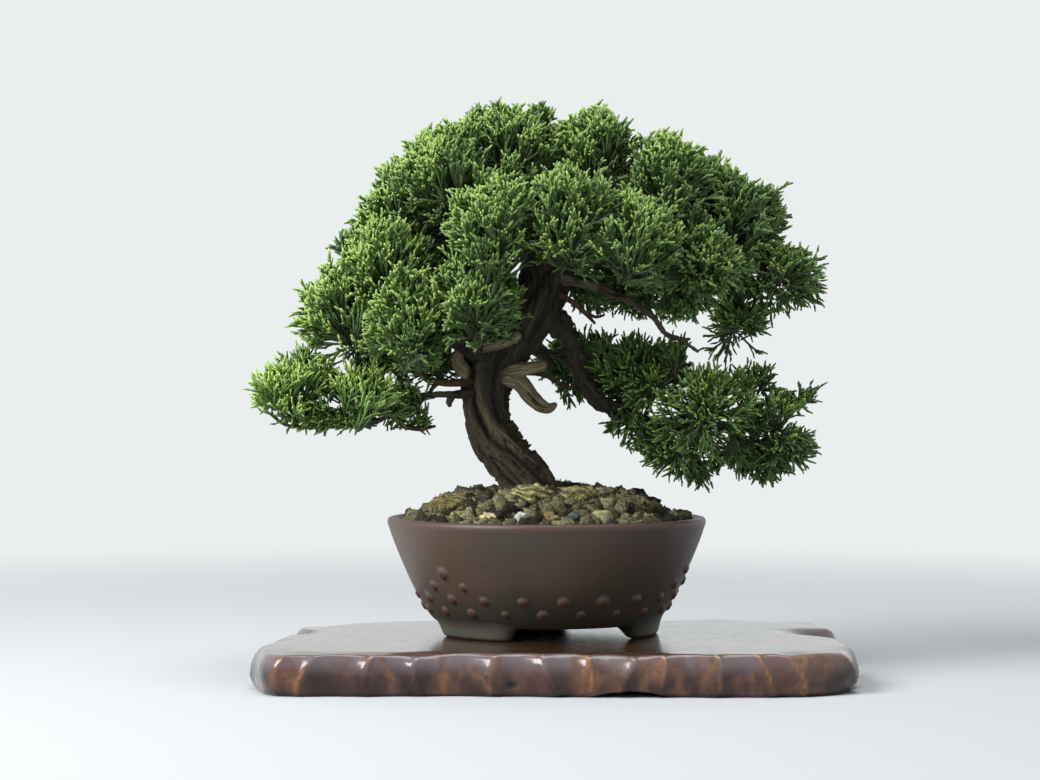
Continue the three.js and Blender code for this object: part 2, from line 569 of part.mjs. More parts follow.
const trunkSolid = trunk();
const trunkClearance = trunk(GAP);
addPiece('trunk', trunkSolid, 0x4d3e30, 0.85);

const mossEntries = Object.entries(MOSS);
mossEntries.forEach(([name, place], i) => {
  const solid = largest(mossClump(place, i + 1).subtract(trunkClearance));
  addPiece(`moss_${name}`, solid, 0x6b7038, 0.95);
});
STONES.forEach((place, i) => addPiece(`stone_${i + 1}`, stone(place, 2 * i + 1), 0x8b8a72, 0.85));
addPiece('soil_bed', soilBed([
  trunkClearance,
  anchorWire(GAP),
  ...mossEntries.map(([, place], i) => mossClump(place, i + 1, GAP)),
  ...STONES.map((place, i) => stone(place, 2 * i + 1, GAP)),
]), 0x4a4234, 0.95);

const limbClearances = [trunkClearance];
for (const [name, lines] of Object.entries(BRANCHES)) {
  addPiece(`branch_${name}`, largest(cut(branch(lines), limbClearances)), 0x46372a, 0.85);
  limbClearances.push(branch(lines, GAP));
}

Object.keys(PADS).forEach((name, i) => {
  addPiece(`pad_${name}`, largest(cut(pad(name, 1.7 * i), limbClearances)), 0x4c7a35, 0.7);
});

export default bonsai;
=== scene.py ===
"""Juniper bonsai in a studded clay pot on a carved wooden stand: shapes and finishes.

Sizes are in millimetres, heights are above the stand's underside, and the front faces -Y, as in the frame.
Every mesh is turned into metres where it is made.
"""
import math
from itertools import product

import bpy
import numpy as np
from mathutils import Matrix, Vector


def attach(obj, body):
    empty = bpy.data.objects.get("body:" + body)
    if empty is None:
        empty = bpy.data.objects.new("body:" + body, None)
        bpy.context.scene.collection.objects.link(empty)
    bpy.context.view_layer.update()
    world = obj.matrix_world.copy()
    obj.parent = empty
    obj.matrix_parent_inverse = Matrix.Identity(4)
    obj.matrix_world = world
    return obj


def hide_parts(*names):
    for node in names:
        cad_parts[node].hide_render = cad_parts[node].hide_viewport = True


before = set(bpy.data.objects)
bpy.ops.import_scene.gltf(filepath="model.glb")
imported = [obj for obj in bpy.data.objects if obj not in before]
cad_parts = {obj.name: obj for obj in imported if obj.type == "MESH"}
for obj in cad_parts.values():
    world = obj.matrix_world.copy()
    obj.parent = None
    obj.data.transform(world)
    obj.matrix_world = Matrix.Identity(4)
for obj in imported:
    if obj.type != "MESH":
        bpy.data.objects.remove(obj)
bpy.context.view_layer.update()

MM = 0.001
UP = np.array([0.0, 0.0, 1.0])
FRONT = np.array([0.0, -1.0, 0.0])

# ---- camera, light and floor

CAMERA_AT = (-11.3, -1022, 117.7)
CAMERA_LENS = 83.08
CAMERA_SENSOR = 36
CAMERA_TILT = 0.0021  # radians upward
CAMERA_REACH = 20000
BACKDROP = (234, 238, 239)
AMBIENT = 0.43  # how strongly the backdrop lights dull surfaces
LIGHTS = [  # name, place, width and power
    ("key", (-900, -540, 840), 620, 24.0),
    ("top", (60, -60, 1150), 700, 9.0),
    ("fill", (900, -600, 350), 800, 0.4),
]
LIGHTS_AIM = (0, 0, 130)
FLOOR_SIZE = 6000
FLOOR_FADE = (260, 900)  # distances over which the floor fades into the backdrop

# ---- stand and pot

STAND_THICKNESS = 16.5
STAND_LACQUER_BUILD = 0.28  # the lacquered top comes up to just under the pot's feet
STAND_CENTRE = (3, -14)
STAND_OUTLINE = [  # x, y of the widest line round the carved edge
    (-117, -77), (-109, -86), (-84, -88.5), (-46, -88), (-2, -90.5), (32, -91.5), (70, -92), (100, -89),
    (118, -81), (125, -58), (124.5, -24), (121, 2), (127, 20), (124, 45), (109, 58), (66, 62), (10, 63),
    (-44, 62), (-80, 57), (-100, 43), (-112, 24), (-109, 8), (-115, -12), (-120, -44),
]
STAND_RING_POINTS = 640
STAND_SCALLOP_DEPTH = 2.4
STAND_FULL_SCALLOP = 17  # how wide a scallop is that is cut to this depth
STAND_HEWN = 1.6  # unevenness of the cut side
STAND_FRONT_RIDGES = [  # x at the top and at the bottom of each ridge along the front
    (-108, -108.5), (-94.6, -100), (-72.4, -73), (-54, -52), (-22.6, -23), (-2.6, 2.8), (15.8, 17.3),
    (33.9, 27.3), (46.5, 43.4), (68, 66.4), (84, 87.9), (96.6, 101),
]
STAND_OTHER_RIDGES = 20  # round the ends and the back
STAND_RIDGE_WIDTH = 0.55  # of the worn line along a ridge
STAND_EDGE_DIPS = 2.6  # how far the top dips along its edge
# Scoops in the top's edge: x, y, radius and depth.
STAND_SCOOPS = [(119, 4, 13, 4.5), (-110, 2, 9, 4), (-92, 50, 8, 2.5)]
STAND_ARCH = dict(x=32, front=-91.5, half_width=13, height=2.4, depth=26)  # the hollow under the front edge
STAND_KNOT = dict(x=-15.2, height=4.6, radius=2.5, squash=1.9, depth=1.7)
# Distance in from the outline, height, and how strongly the scallops cut in at that height.
STAND_SIDE = [(5, 0, 0.3), (3, 0.3, 0.5), (1, 2.2, 0.9), (0, 6, 1), (0.4, 9.6, 1), (1.3, 12.6, 0.95),
              (2.9, 15, 0.85), (4.6, 16.2, 0.75), (5.8, STAND_THICKNESS, 0.68)]
# Rings of the flat top, as shares of the way from its middle.
STAND_TOP_RINGS = (0.996, 0.988, 0.975, 0.955, 0.93, 0.9, 0.86, 0.8, 0.7, 0.55, 0.38, 0.2, 0.07)

POT_BASE = STAND_THICKNESS + 0.35  # heights of the pot below are above this
POT_FOOT_HEIGHT = 5.6
POT_HEIGHT = 49.2
POT_OUTSIDE = [(46.8, POT_FOOT_HEIGHT), (49.2, 7.5), (56.2, 19), (60.9, 29.2), (65.4, 40.3), (67.2, 45.6),
               (67.5, 47.6), (66.6, POT_HEIGHT)]
POT_RIM = [(67.6, 46.6), (67.6, 47.9), (67.0, 48.9), (66.1, POT_HEIGHT), (65.1, POT_HEIGHT), (64.3, 48.8),
           (63.7, 47.9)]
POT_FLOOR_TOP = 10.2
POT_INSIDE = [(62.9, 47.4), (56.8, 29.2), (52, 19), (46.8, 11.8), (44.6, POT_FLOOR_TOP), (30, POT_FLOOR_TOP)]
POT_UNDER = [(30, POT_FOOT_HEIGHT + 0.1), (44, POT_FOOT_HEIGHT)]
POT_PROFILE_STEP = 1.1
POT_POINTS_ROUND = 192
FOOT_AZIMUTHS = (-45, 75, 195)  # degrees from the front, turning toward +X
FOOT_HALF_ANGLES = (24.5, 28)  # at the bottom and at the top
FOOT_INNER_RADII = (43, 38.5)  # the same
FOOT_OUTER_RADIUS = 47.2  # at the bottom
FOOT_TAPER = 0.6  # degrees between its outer and its inner face
FOOT_SLOPE = 0.25  # how much wider each millimetre up
FOOT_CURVE = 0.036  # and how it bends into the wall's slope
FOOT_ROOT = 9.9  # how far up a foot reaches into the wall
FOOT_CORNER = 1.3  # how far its corners are drawn in
FOOT_SOFTENING = 0.9  # and its bottom edges
STUDS_PER_ROW = 21
STUD_RADIUS = 3.7  # out to where its mound runs into the wall
STUD_HEIGHT = 1.25
STUD_SIZES = (0.86, 1.12)  # smallest and largest share of these two
STUD_SINK = 0.12  # into the wall
STUD_HEAD = dict(foot=0.7, shoulder=0.36, height=0.6)  # shares of the stud's radius and height
STUD_MOUND = dict(height=0.42, power=1.3)
STUD_TIP = (0.66, 0.5)  # where the warm colour of its head starts and is full
STUD_HALO = (0.98, 0.68)  # the same for the pale ring round the head
STUD_ROWS = (11.7, 17, 22.5, 27.8)
DRAIN_HOLE = dict(radius=6.5, x=20, depth=20)

# ---- soil, moss and stones

SOIL_EDGE_HEIGHT = 62
SOIL_EDGE_RADIUS = 61.5
SOIL_MOUND = dict(centre=(-1, 0), rise=14, top=36, foot=61)  # top and foot are the radii it slopes between
SOIL_LUMPS = 0.7
# Two layers of grains: name, spacing, size, points on a block's edge, depth in the earth, and seed.
GRAIN_LAYERS = [("coarse", 4.4, 5.0, 4, 0.8, 11), ("fine", 3.1, 2.5, 3, 0.9, 23)]
GRAIN_SHAPES = 5
GRAIN_CLEARANCE = 12.5  # from the trunk's axis
GRAIN_SHOULDER_SINK = 1.5  # how much deeper the grains sit on the mound's shoulder
GRAIN_RIM_LIFT = 2.9  # and how much higher they are heaped at the rim
BLACK_GRAINS = (-17.5, -45, 5)  # a dark spot: x, y and radius
BLACK_SIDE = dict(x=(36, 46), y=(0, -20))  # where the grains turn dark toward the right front
BLACKENING = 0.92
# centre x, y and half sizes x, y, z
MOSS = {
    "left": (-35, -20, 13, 12, 5), "front": (-6, -37, 8.5, 7, 4.4), "right": (12.5, -33, 7.5, 6.5, 3.8),
    "mound": (32, -22, 11, 10, 4.4), "back": (6, 36, 15, 10, 4.6),
}
MOSS_STRANDS = 8  # on each square millimetre of half sizes
MOSS_STRAND_LENGTH = (1.8, 3.8)
MOSS_STRAND_RADIUS = (0.13, 0.21)
MOSS_STRAND_SINK = 0.3  # into the clump
MOSS_SINK = {"left": 4.2, "mound": 2.8, "front": -0.4, "right": 0.2, "back": 0.4}  # into the soil
# Moss colours: painted shade in the folds and a painted highlight on the crests.
MOSS_COLOURS = {  # in its folds, between them and on their crests
    "left": [(40, 36, 20), (104, 94, 52), (152, 136, 84)],
    "front": [(60, 56, 28), (156, 152, 92), (206, 200, 148)],
    "right": [(48, 44, 24), (128, 120, 70), (176, 164, 110)],
    "mound": [(34, 38, 20), (88, 94, 50), (130, 134, 80)],
    "back": [(36, 40, 20), (92, 96, 50), (142, 142, 86)],
}
MOSS_FOLD_WAY = (0.35, 0.4, 1.0)  # across the folds
MOSS_RELIEF = dict(lumps=3.4, folds=0.9, fuzz=0.8)
STONE_RELIEF = dict(broad=3.2, facets=1.9, fine=0.6)
STONE_RING_RADIUS = 51.5
STONES = [  # x on the ring, half sizes x, y, z, and colour
    (-36, 4.6, 3.8, 3.4, (146, 142, 102)), (-23.5, 4.2, 3.6, 3.4, (206, 192, 150)),
    (-11, 5, 4.2, 2.6, (192, 193, 184)), (1, 4.6, 3.8, 3.2, (128, 108, 76)),
    (11, 4.2, 3.8, 3.6, (60, 68, 66)), (21.5, 5.2, 4.4, 4, (152, 152, 108)),
    (32, 4, 3.6, 3.2, (104, 98, 74)), (41, 3.8, 3.8, 3, (148, 144, 104)),
]

# ---- the tree

# Each limb runs through points of x, y, z and radius.
TRUNK_LINE = [
    (-5, 0, 65, 13.6), (-8, 0, 78, 11.4), (-14.5, 0, 88, 10), (-21.5, 1, 98.5, 9.6), (-25.5, 2, 109, 9.4),
    (-26, 2, 118, 9.8), (-24, 1, 127, 10.2), (-18, -1, 137, 9.8), (-9.5, -2, 147.5, 9.6),
    (-2.5, 0, 160, 9.8), (0, 1, 173, 10.2), (0.5, 2, 184, 9.6), (0, 1, 194.5, 7.4), (-3, 0, 204, 5),
]
LEADER_FORKS = [
    [(-2, 0, 199, 4.6), (-9, -1, 209, 3.2), (-14, -2, 221, 1.6)],
    [(-1, 0, 197, 4.8), (9, 0, 207, 3.4), (20, 0, 219, 1.6)],
]
ROOTS = [
    [(-5, 0, 73, 7), (8, 5, 68, 4.6), (20, 10, 61, 2.6), (30, 14, 53, 1.2)],
    [(-8, 0, 73, 7), (-20, 3, 68, 4.6), (-31, 6, 61, 2.8), (-41, 9, 53, 1.2)],
    [(-8, 0, 72, 7), (-17, -7, 66, 4.4), (-26, -14, 59, 2.6), (-33, -20, 51, 1.2)],
    [(-7, 0, 73, 7), (-7, -11, 67, 4.6), (-8, -22, 60, 2.6), (-10, -31, 51, 1.2)],
    [(-5, 0, 73, 7), (5, -9, 67, 4.6), (15, -18, 60, 2.6), (24, -26, 52, 1.2)],
    [(-6, 2, 67, 7), (-6, 12, 60, 4.2), (-6, 24, 52, 2.2), (-6, 33, 45, 1.2)],
]
DEAD_WOOD = [
    [(-21, -4, 126, 4.2), (-12, -5, 123.5, 3.8), (-6.4, -6, 116.8, 3.5), (-2, -6, 113, 2.9),
     (1.2, -6, 112.2, 2.1), (3.9, -6, 113.9, 1.0)],
    [(-20, -5, 128, 4.2), (-9, -7, 128.9, 2.9), (-0.6, -8, 130.2, 2.1)],
    [(-26, -6, 137, 3.2), (-19, -10, 139.5, 2.7), (-11.5, -12, 143, 2)],
    [(-30, -1, 125.5, 3.8), (-35.5, -3, 128.6, 3.2), (-38, -3, 133, 2.8), (-36.5, -3, 136.8, 2)],
]
# Grooves and raised veins round the trunk: degrees from the deep front groove, half width, height.
TRUNK_VEINS = [(0, 10, -2.4), (24, 13, 0.9), (-32, 14, 0.7), (62, 8, -0.9), (88, 16, 0.6), (118, 11, -1.6),
               (150, 18, 0.8), (-70, 8, -0.9), (-120, 12, -1.7), (-95, 13, 0.7), (-155, 9, -0.8)]
# Where the deep groove lies, in degrees from the front toward +X, at heights up the trunk.
GROOVE_HEIGHTS = (60, 78, 100, 122, 132, 150, 175, 200)
GROOVE_AZIMUTHS = (75, 46, -10, -48, -66, -80, -60, -30)
VEIN_WANDER = 14  # degrees
GRAIN_TWIST = 0.018  # radians for each millimetre along a limb
# A pale worn strip, its azimuth from the deep groove, a side with rugged bark, its azimuth from the front,
# and how much thinner the low trunk is: widths in degrees, and the heights between which each fades.
WORN_STRIP = dict(azimuth=24, width=12, foot=(82, 98), head=(134, 120))
RUGGED_SIDE = dict(azimuth=92, width=50, head=(120, 106))
LOW_TRUNK = dict(thinner=0.6, head=(140, 120))
# How far cracks, fine cracks, fibres and flakes stand out on a limb of this radius or more.
BARK_RELIEF = dict(radius=9, crack=0.7, fine=0.45, fibre=0.6, flake=0.7)
# A split along the hanging dead branch, which is the limb after the trunk.
DEAD_SPLIT = dict(line=1, width=0.5, depth=1.3, start=(13, 17), end=(28, 23))

BRANCHES = {
    "low_left": [
        [(-27, 0, 121, 3.6), (-33, -2, 118.4, 2.4), (-42, -4, 118, 1.4), (-52, -4, 117.6, 1.2),
         (-66, -5, 114.5, 1.4), (-77, -6, 112, 1.4), (-94, -4, 111, 1.2), (-107, -4, 114.5, 1)],
        [(-48, -3, 117.6, 1.3), (-53, 1, 116, 1.1), (-58, 5, 113, 0.9)],
        [(-66, -5, 114.5, 1.9), (-76, -6, 118, 1.5), (-86, -6, 119, 1.1)],
    ],
    "left": [
        [(-22, -2, 131, 5.6), (-38, -6, 142, 4.3), (-51, -8, 147, 3.7), (-64, -8, 152, 3),
         (-77, -6, 156, 2.2), (-90, -6, 159, 1.4)],
        [(-62, -8, 151, 3), (-66, -14, 160, 2.3), (-65, -20, 172, 1.4)],
        [(-42, -6, 143.5, 3.8), (-48, -20, 146, 2.8), (-54, -32, 149, 1.5)],
        [(-30, -4, 137, 4), (-31, -20, 144, 3), (-30, -36, 156, 1.6)],
    ],
    "upper_left": [
        [(0, -2, 173, 5.4), (-11, -5, 183, 4.4), (-24, -6, 191, 3.5), (-39, -4, 197, 2.7), (-52, -1, 201, 2),
         (-62, 2, 204, 1.2)],
        [(-22, -6, 190, 2.6), (-31, -12, 200, 2), (-38, -16, 211, 1.2)],
        [(-33, -5, 194.5, 2.4), (-47, -12, 189, 1.8), (-60, -18, 182, 1.2)],
    ],
    "low_right": [
        [(-1, 0, 152, 6), (7.5, 2, 145.5, 4.3), (11.5, 4, 137, 3.9), (14.5, 4, 126, 3.6),
         (19.5, 2, 117.5, 3.3), (29, 0, 111, 2.7), (44, -2, 106.5, 1.9), (65, -6, 105, 1.4),
         (92, -4, 103.5, 0.9)],
        [(15.5, 4, 123.5, 2.6), (26, 7, 125, 2), (38, 9, 127.5, 1.3)],
        [(40, -1, 107.5, 2), (47, 0, 102, 1.6), (54, 0, 97, 1.1)],
        [(52, -3, 105.7, 2), (60, -9, 110, 1.5), (67, -13, 114, 1.1)],
    ],
    "right": [
        [(1, 2, 173, 5.4), (14, 4, 174.5, 4), (28, 2, 176, 3.3), (44, -3, 176.5, 2.8), (65, -4, 175, 2.2),
         (84, -3, 173, 1.7), (101, 0, 171, 1.1)],
        [(20, 3, 175, 3), (31, 14, 171, 2.2), (41, 25, 166, 1.3)],
        [(52, -4, 176, 2.2), (58, -14, 175, 1.7), (63, -24, 173.5, 1.1)],
        [(70, -3, 174.5, 1.9), (78, 1, 164, 1.5), (82, 4, 152, 1)],
    ],
    "upper_right": [
        [(0, 1, 184, 5.4), (12, 0, 191.5, 4.2), (28, -2, 197, 3.4), (46, -3, 200.5, 2.7), (64, 0, 200.5, 2),
         (80, 4, 199, 1.2)],
        [(34, -3, 198.5, 2.6), (42, -6, 205, 1.9), (48, -8, 211, 1.2)],
        [(22, -1, 195, 2.8), (30, -20, 191, 2.2), (37, -42, 185, 1.2)],
    ],
    "pale_right": [
        [(1, -3, 168, 3.2), (9.5, -5, 166.3, 2.2), (17, -6, 164.7, 1.8), (26, -6, 161.7, 1.5),
         (37, -6, 156.2, 1.3), (45, -6, 150.8, 1.15), (50.5, -6, 143.6, 1), (56, -7, 141.6, 0.9),
         (60.5, -8, 141.3, 0.6)],
        [(54.5, -7, 141.9, 0.9), (59.5, -8, 139, 0.8), (64, -9, 135.8, 0.5)],
    ],
    "back_low": [
        [(-10, 4, 142, 4.4), (-3, 18, 137, 3.2), (4, 34, 132, 2.3), (10, 48, 130.5, 1.2)],
    ],
    "back": [
        [(0, 4, 169, 6), (2, 22, 177, 4.2), (10, 33, 183, 3.2), (28, 41, 186, 2.3), (51, 44, 187, 1.3)],
        [(2, 20, 176.5, 3.4), (-14, 32, 182, 2.5), (-34, 38, 185, 1.9), (-54, 40, 187, 1.2)],
        [(4, 26, 179, 3), (3, 36, 193, 2.2), (0, 43, 209, 1.2)],
    ],
    "front": [
        [(0, -4, 173, 4.8), (-1, -19, 179, 3.6), (-5, -33, 185, 2.8), (-12, -41, 188, 2),
         (-20, -46, 190, 1.2)],
        [(-3, -28, 183, 2.4), (4, -38, 188, 1.8), (10, -46, 193, 1.1)],
    ],
}

LIMB_ROUGHNESS = {"low_right": 2.6}  # times the relief of the other limbs' bark
SKIN_CELL = dict(trunk=0.52, limb=0.6, back=0.7)  # size of the cells that make up the skin over the wood
# Thinner twigs that grow in view, in bark of their own.
SHOWN_TWIGS = [
    [(-66, -5, 113, 1.5), (-62, -5, 105.5, 1.1), (-54, -5, 103.2, 0.9), (-47, -5, 104.6, 0.6)],
    [(-66, -5, 113, 1.5), (-70, -5.5, 107.5, 1.2), (-79, -6, 105.2, 1.1), (-92, -5, 104.2, 0.9),
     (-103, -4, 104, 0.8), (-112, -4, 105.6, 0.7), (-117, -4, 110.5, 0.5)],
    [(-40, -3, 117.5, 1.7), (-41.5, -3, 114.4, 1.5), (-41, -3, 112.6, 0.7)],
    [(-31, -2, 124, 2.2), (-38, -3, 122.9, 1.8), (-46, -3, 123.2, 1.5), (-53, -2, 126.5, 0.9)],
    [(-44, -3, 123.1, 0.9), (-47.5, -3, 121.6, 0.8), (-50, -4, 117.4, 0.7)],
    [(-9, 2, 127.5, 1.5), (-1, 3, 126.5, 1.2), (6, 4, 122.5, 1), (14, 4, 119.5, 0.9)],
    [(22, -7, 163, 1.2), (27, -8, 159.5, 0.9), (33, -9, 158.6, 0.7), (38, -9, 159.6, 0.5)],
    [(2, -4, 163, 2), (5, -5, 160.6, 1.6), (11, -7, 157, 1.2), (16, -8, 152.6, 1), (20.5, -9, 147.8, 0.6)],
    [(15.6, -8, 153, 0.9), (21, -8, 150.6, 0.7), (24.5, -8, 151.6, 0.5)],
]

# The foliage clouds: centre x, y, z and half sizes x, y, z, with the limb that carries each.
PADS = {
    "low_left_tip": (-106.5, -4, 121.5, 22, 22, 15, "low_left"),
    "low_left_middle": (-77, -8, 116, 20, 26, 14.4, "low_left"),
    "low_left_inner": (-63, 4, 114, 11, 16, 9.5, "low_left"),
    "left_tip": (-85, -6, 158, 19, 26, 17.8, "left"),
    "left_middle": (-65, -22, 175, 20, 25, 19, "left"),
    "left_front": (-55, -34, 150, 20.5, 22, 15.6, "left"),
    "centre_left_front": (-30, -42, 160, 18.4, 23, 20.4, "left"),
    "left_shoulder": (-58, 4, 202.5, 19, 29, 20.2, "upper_left"),
    "left_crown": (-40, -18, 214, 20, 27, 19.8, "upper_left"),
    "apex_left": (-15, -4, 221.8, 21.6, 31, 20.2, "leader"),
    "apex_right": (19.5, 0, 223.6, 20.2, 31, 19.6, "leader"),
    "front_crown_left": (-20, -46, 190, 20.4, 22, 18.4, "front"),
    "front_crown_right": (9, -48, 192, 19.6, 22, 19.6, "front"),
    "right_crown": (48.5, -8, 208.8, 21.2, 31, 20, "upper_right"),
    "front_right": (37, -44, 185, 20, 23, 17, "upper_right"),
    "right_shoulder": (80.5, 4, 198.2, 22.2, 31, 19.2, "upper_right"),
    "right_front_low": (63, -26, 173, 20.6, 25, 17.6, "right"),
    "right_tip": (100, 0, 170, 20, 27, 12.8, "right"),
    "right_hanging": (82, 4, 151, 14.8, 20, 14.6, "right"),
    "right_under": (41, 26, 167.5, 21, 23, 13, "right"),
    "low_right_upper": (40, 10, 128.2, 24.6, 27, 16.8, "low_right"),
    "low_right_tip": (94, -2, 98.5, 20.5, 23, 12.5, "low_right"),
    "low_right_middle": (67, -14, 113, 21, 25, 18.2, "low_right"),
    "low_right_low": (58, 0, 97, 20, 23, 14, "low_right"),
    "back_low": (9, 48, 133, 15, 19, 13, "back_low"),
    "back_left": (-56, 39, 185, 29, 27, 25.5, "back"),
    "back_right": (54, 41, 186, 30, 26, 24.5, "back"),
    "back_top": (0, 40, 209, 31, 28, 26.5, "back"),
    "low_right_prong": (96, -3, 115.5, 14, 17, 8, "low_right"),
    "low_right_sprig": (87, 2, 124, 10, 12, 6.5, "low_right"),
}
PAD_LUMPS = 0.16
PAD_PHASE = 1.7  # how differently the lumps of neighbouring clouds lie
PAD_SHRINK = 0.5  # the least of a cloud's own reach that is kept on the common skin
PAD_GROWTH = 8  # and the most that is added to it
CROWN_CENTRE = np.array([0.0, 0.0, 160.0])

CREASE = 7  # how softly neighbouring clouds run into each other
CLUMP_SIZE = 15  # width and height of the swellings on their common skin
CLUMP_HEIGHT = 7.5
SKIN_INSET = 5  # room for the tips that stand out of the skin
TUFT_SPACING = 9.4  # between neighbouring tufts on the skin
AIRY_SPACING = 10.9  # the same for the clouds of AIRY and for those at the back
TUFT_DEPTH = 19  # from the skin to the base of a tuft
SHOOTS_PER_TUFT = 6
AIRY_SHOOTS = 5
AIRY_DEPTH = 0.86  # their length as a share of the others'
# The shoots behind each tuft are painted dark, as shade.
INNER_SHOOTS = 2  # dark shoots behind each tuft
LIMB_TUFT_SPACING = 6
# Painted light on the shoots: lighter facing up, darker facing right or back.
LIT = 0.47  # how light shoots are: more so facing up, and less facing right or back
LIT_UP = 0.3
LIT_RIGHT = 0.12
LIT_BACK = 0.06
FILL_SETBACK = 7  # how far behind its place a tuft that fills a gap starts
FILL_LENGTH = (10, 15)
# Painted light of the tufts that fill gaps, darker than the others as in shade.
FILL_LIT = (0.15, 0.45)
# Gaps between clouds that shoots grow into: centre, half sizes, how many tufts, where they point,
# and the cloud they belong to.
FILLS = [
    (-28, -16, 173, 14, 12, 9, 10, (-0.2, -0.5, 0.8), "centre_left_front"),
    (-58, -4, 170, 12, 10, 8, 6, (-0.4, -0.4, 0.7), "left_middle"),
    (-43, 6, 133, 12, 8, 7, 8, (-0.6, -0.3, 0.5), "left_front"),
    (-39, -24, 145, 15, 7, 8, 14, (-0.1, -0.7, 0.3), "centre_left_front"),
    (22, 22, 161, 12, 8, 5, 8, (0.5, -0.2, -0.2), "right_under"),
    (17, 13, 166, 6, 6, 3, 4, (0.7, -0.2, 0.1), "right_under"),
    (32, -2, 107, 5, 6, 4, 4, (-0.4, -0.2, -0.8), "low_right_low"),
    (42, -3, 101, 6, 6, 3, 4, (-0.4, -0.2, -0.8), "low_right_low"),
    (78, -4, 94, 9, 12, 5, 7, (0.3, -0.2, -0.9), "low_right_low"),
    (90, -4, 93, 9, 10, 4, 6, (0.5, -0.2, -0.8), "low_right_tip"),
    (-101, -4, 109, 14, 10, 2.5, 6, (-0.7, -0.3, 0.2), "low_left_tip"),
    (-76, -6, 110, 14, 10, 2.5, 5, (-0.5, -0.4, 0.4), "low_left_middle"),
    (-48, 4, 128, 9, 7, 4, 7, (-0.5, -0.4, 0.3), "low_left_inner"),
    (-66, 0, 131, 11, 8, 6, 14, (-0.3, -0.5, 0.6), "low_left_middle"),
    (-92, -6, 121, 6, 8, 4, 5, (-0.3, -0.5, 0.6), "low_left_middle"),
    (84, -6, 108, 12, 9, 6, 8, (0.5, -0.4, 0.3), "low_right_tip"),
    (60, -6, 101, 9, 8, 4, 6, (0, -0.5, -0.4), "low_right_low"),
    (-3, 0, 232, 4, 10, 3, 5, (0, -0.1, 1), "apex_left"),
    (-29, 0, 232, 3, 10, 2, 3, (-0.3, -0.1, 1), "apex_left"),
    (-81, -8, 177, 3, 8, 3, 3, (-0.5, -0.2, 0.6), "left_middle"),
    (94, 2, 193, 4, 8, 4, 4, (1, -0.2, -0.1), "right_shoulder"),
    (70, 0, 212, 5, 10, 4, 5, (0, -0.2, 1), "right_crown"),
    (23, 8, 136, 9, 8, 3, 9, (-0.1, -0.2, 1), "low_right_upper"),
    (56, -6, 133, 7, 8, 3, 7, (0.2, -0.2, 1), "low_right_middle"),
    (64, -4, 88, 3, 5, 2, 3, (0, -0.3, -1), "low_right_low"),
    (93, -4, 88, 3, 5, 2, 3, (0.3, -0.3, -1), "low_right_tip"),
    (104.5, -3, 98, 4, 6, 3, 5, (0.9, -0.2, 0.1), "low_right_tip"),
    (93, 0, 125, 3, 6, 2, 3, (0.5, -0.2, 0.7), "low_right_sprig"),
    (-103, -4, 129.5, 5, 8, 3, 4, (-0.1, -0.2, 1), "low_left_tip"),
    (-64, -5, 114, 8, 5, 1.5, 6, (0.1, -0.5, 0.7), "low_left_middle"),
    (-57, -4, 114, 4, 5, 1.5, 3, (0.1, -0.5, 0.7), "low_left_inner"),
    (53, -20, 157, 6, 8, 3, 6, (0, -0.3, -0.9), "right_front_low"),
    (17, 4, 161, 5, 6, 4, 4, (0.5, -0.3, -0.6), "right_under"),
    (106, -3, 114, 4, 6, 3, 4, (0.95, -0.2, 0.15), "low_right_prong"),
    (15, 42, 123, 4, 8, 3, 3, (0.3, -0.2, -0.4), "back_low"),
    (-54, -4, 106.5, 5, 5, 1, 3, (0.6, -0.3, 0.4), "low_left_inner"),
    (-88, -5, 107, 12, 4, 1, 6, (-0.8, -0.3, 0.15), "low_left_tip"),
    (-61, -4, 108, 5, 4, 1, 4, (0.4, -0.4, 0.5), "low_left_inner"),
    (-78, -6, 134, 5, 6, 3, 5, (-0.2, -0.3, 0.9), "low_left_middle"),
]
# Open air that no shoot's tip reaches into: centre and half sizes.
AIR = [
    (113, 0, 107, 12, 60, 5.2), (-85, 0, 93, 48, 60, 9.5), (-50, 0, 97, 16, 60, 5),
    (-87, 0, 212, 16, 60, 13), (-112, 0, 171, 17, 60, 9.5), (-121, 0, 160, 12, 60, 12),
    (-124, 0, 106, 9, 60, 6), (-49, 0, 113.5, 10, 60, 3.6), (-91, 0, 138, 8, 60, 5), (1, 0, 118, 8, 70, 8),
    (31, 0, 148.5, 19, 80, 5.5), (57, 0, 146.5, 7, 60, 3), (64, 0, 141, 5.5, 60, 7.5),
    (47, 0, 145, 5, 60, 6), (106, 0, 142, 12, 60, 12), (101, 0, 140, 11, 60, 8), (116, 0, 188, 13, 60, 10),
    (113, 0, 184, 11, 60, 6), (129, 0, 168, 9, 60, 14), (37, 0, 237, 8, 60, 8), (56, 0, 236, 16, 60, 8),
    (-52, 0, 236, 16, 60, 6), (95, 0, 215, 15, 60, 10), (9, 0, 240, 6, 60, 6.5), (48, 0, 77, 12, 60, 8),
    (22, 0, 97, 9, 60, 7), (36, 0, 85, 8, 60, 7), (123, 0, 97, 8, 60, 10), (108, 0, 126, 12, 60, 6.5),
]
BARE_LIMBS = ("pale_right", "low_right", "low_left")
CORD_RADIUS = 0.56
CORD_BEND = 0.12  # sideways reach of a cord's tip, as a share of its length
SIDE_CORDS = 3
SIDE_OPENING = (0.36, 0.6)  # radians between a side cord and its shoot
AIRY_OPENING = (0.46, 0.78)
AIRY_GIRTH = 0.86
BUD_OPENING = (0.32, 0.56)
BUD_LENGTH = (1.8, 3.1)
END_BUD_LENGTH = (1.8, 3)
BUD_GIRTH = 1.12
INNER_LENGTH = (9, 14)  # of the dark shoots behind the tufts
INNER_SIDE_LENGTH = (3, 5.5)
INNER_GIRTH = 0.85
TWIG_TIP_RADIUS = 0.42
DROOPING = ("right_tip", "right_hanging", "right_under", "right_front_low", "low_right_upper",
            "low_right_tip", "low_right_middle", "low_right_low", "back_low")
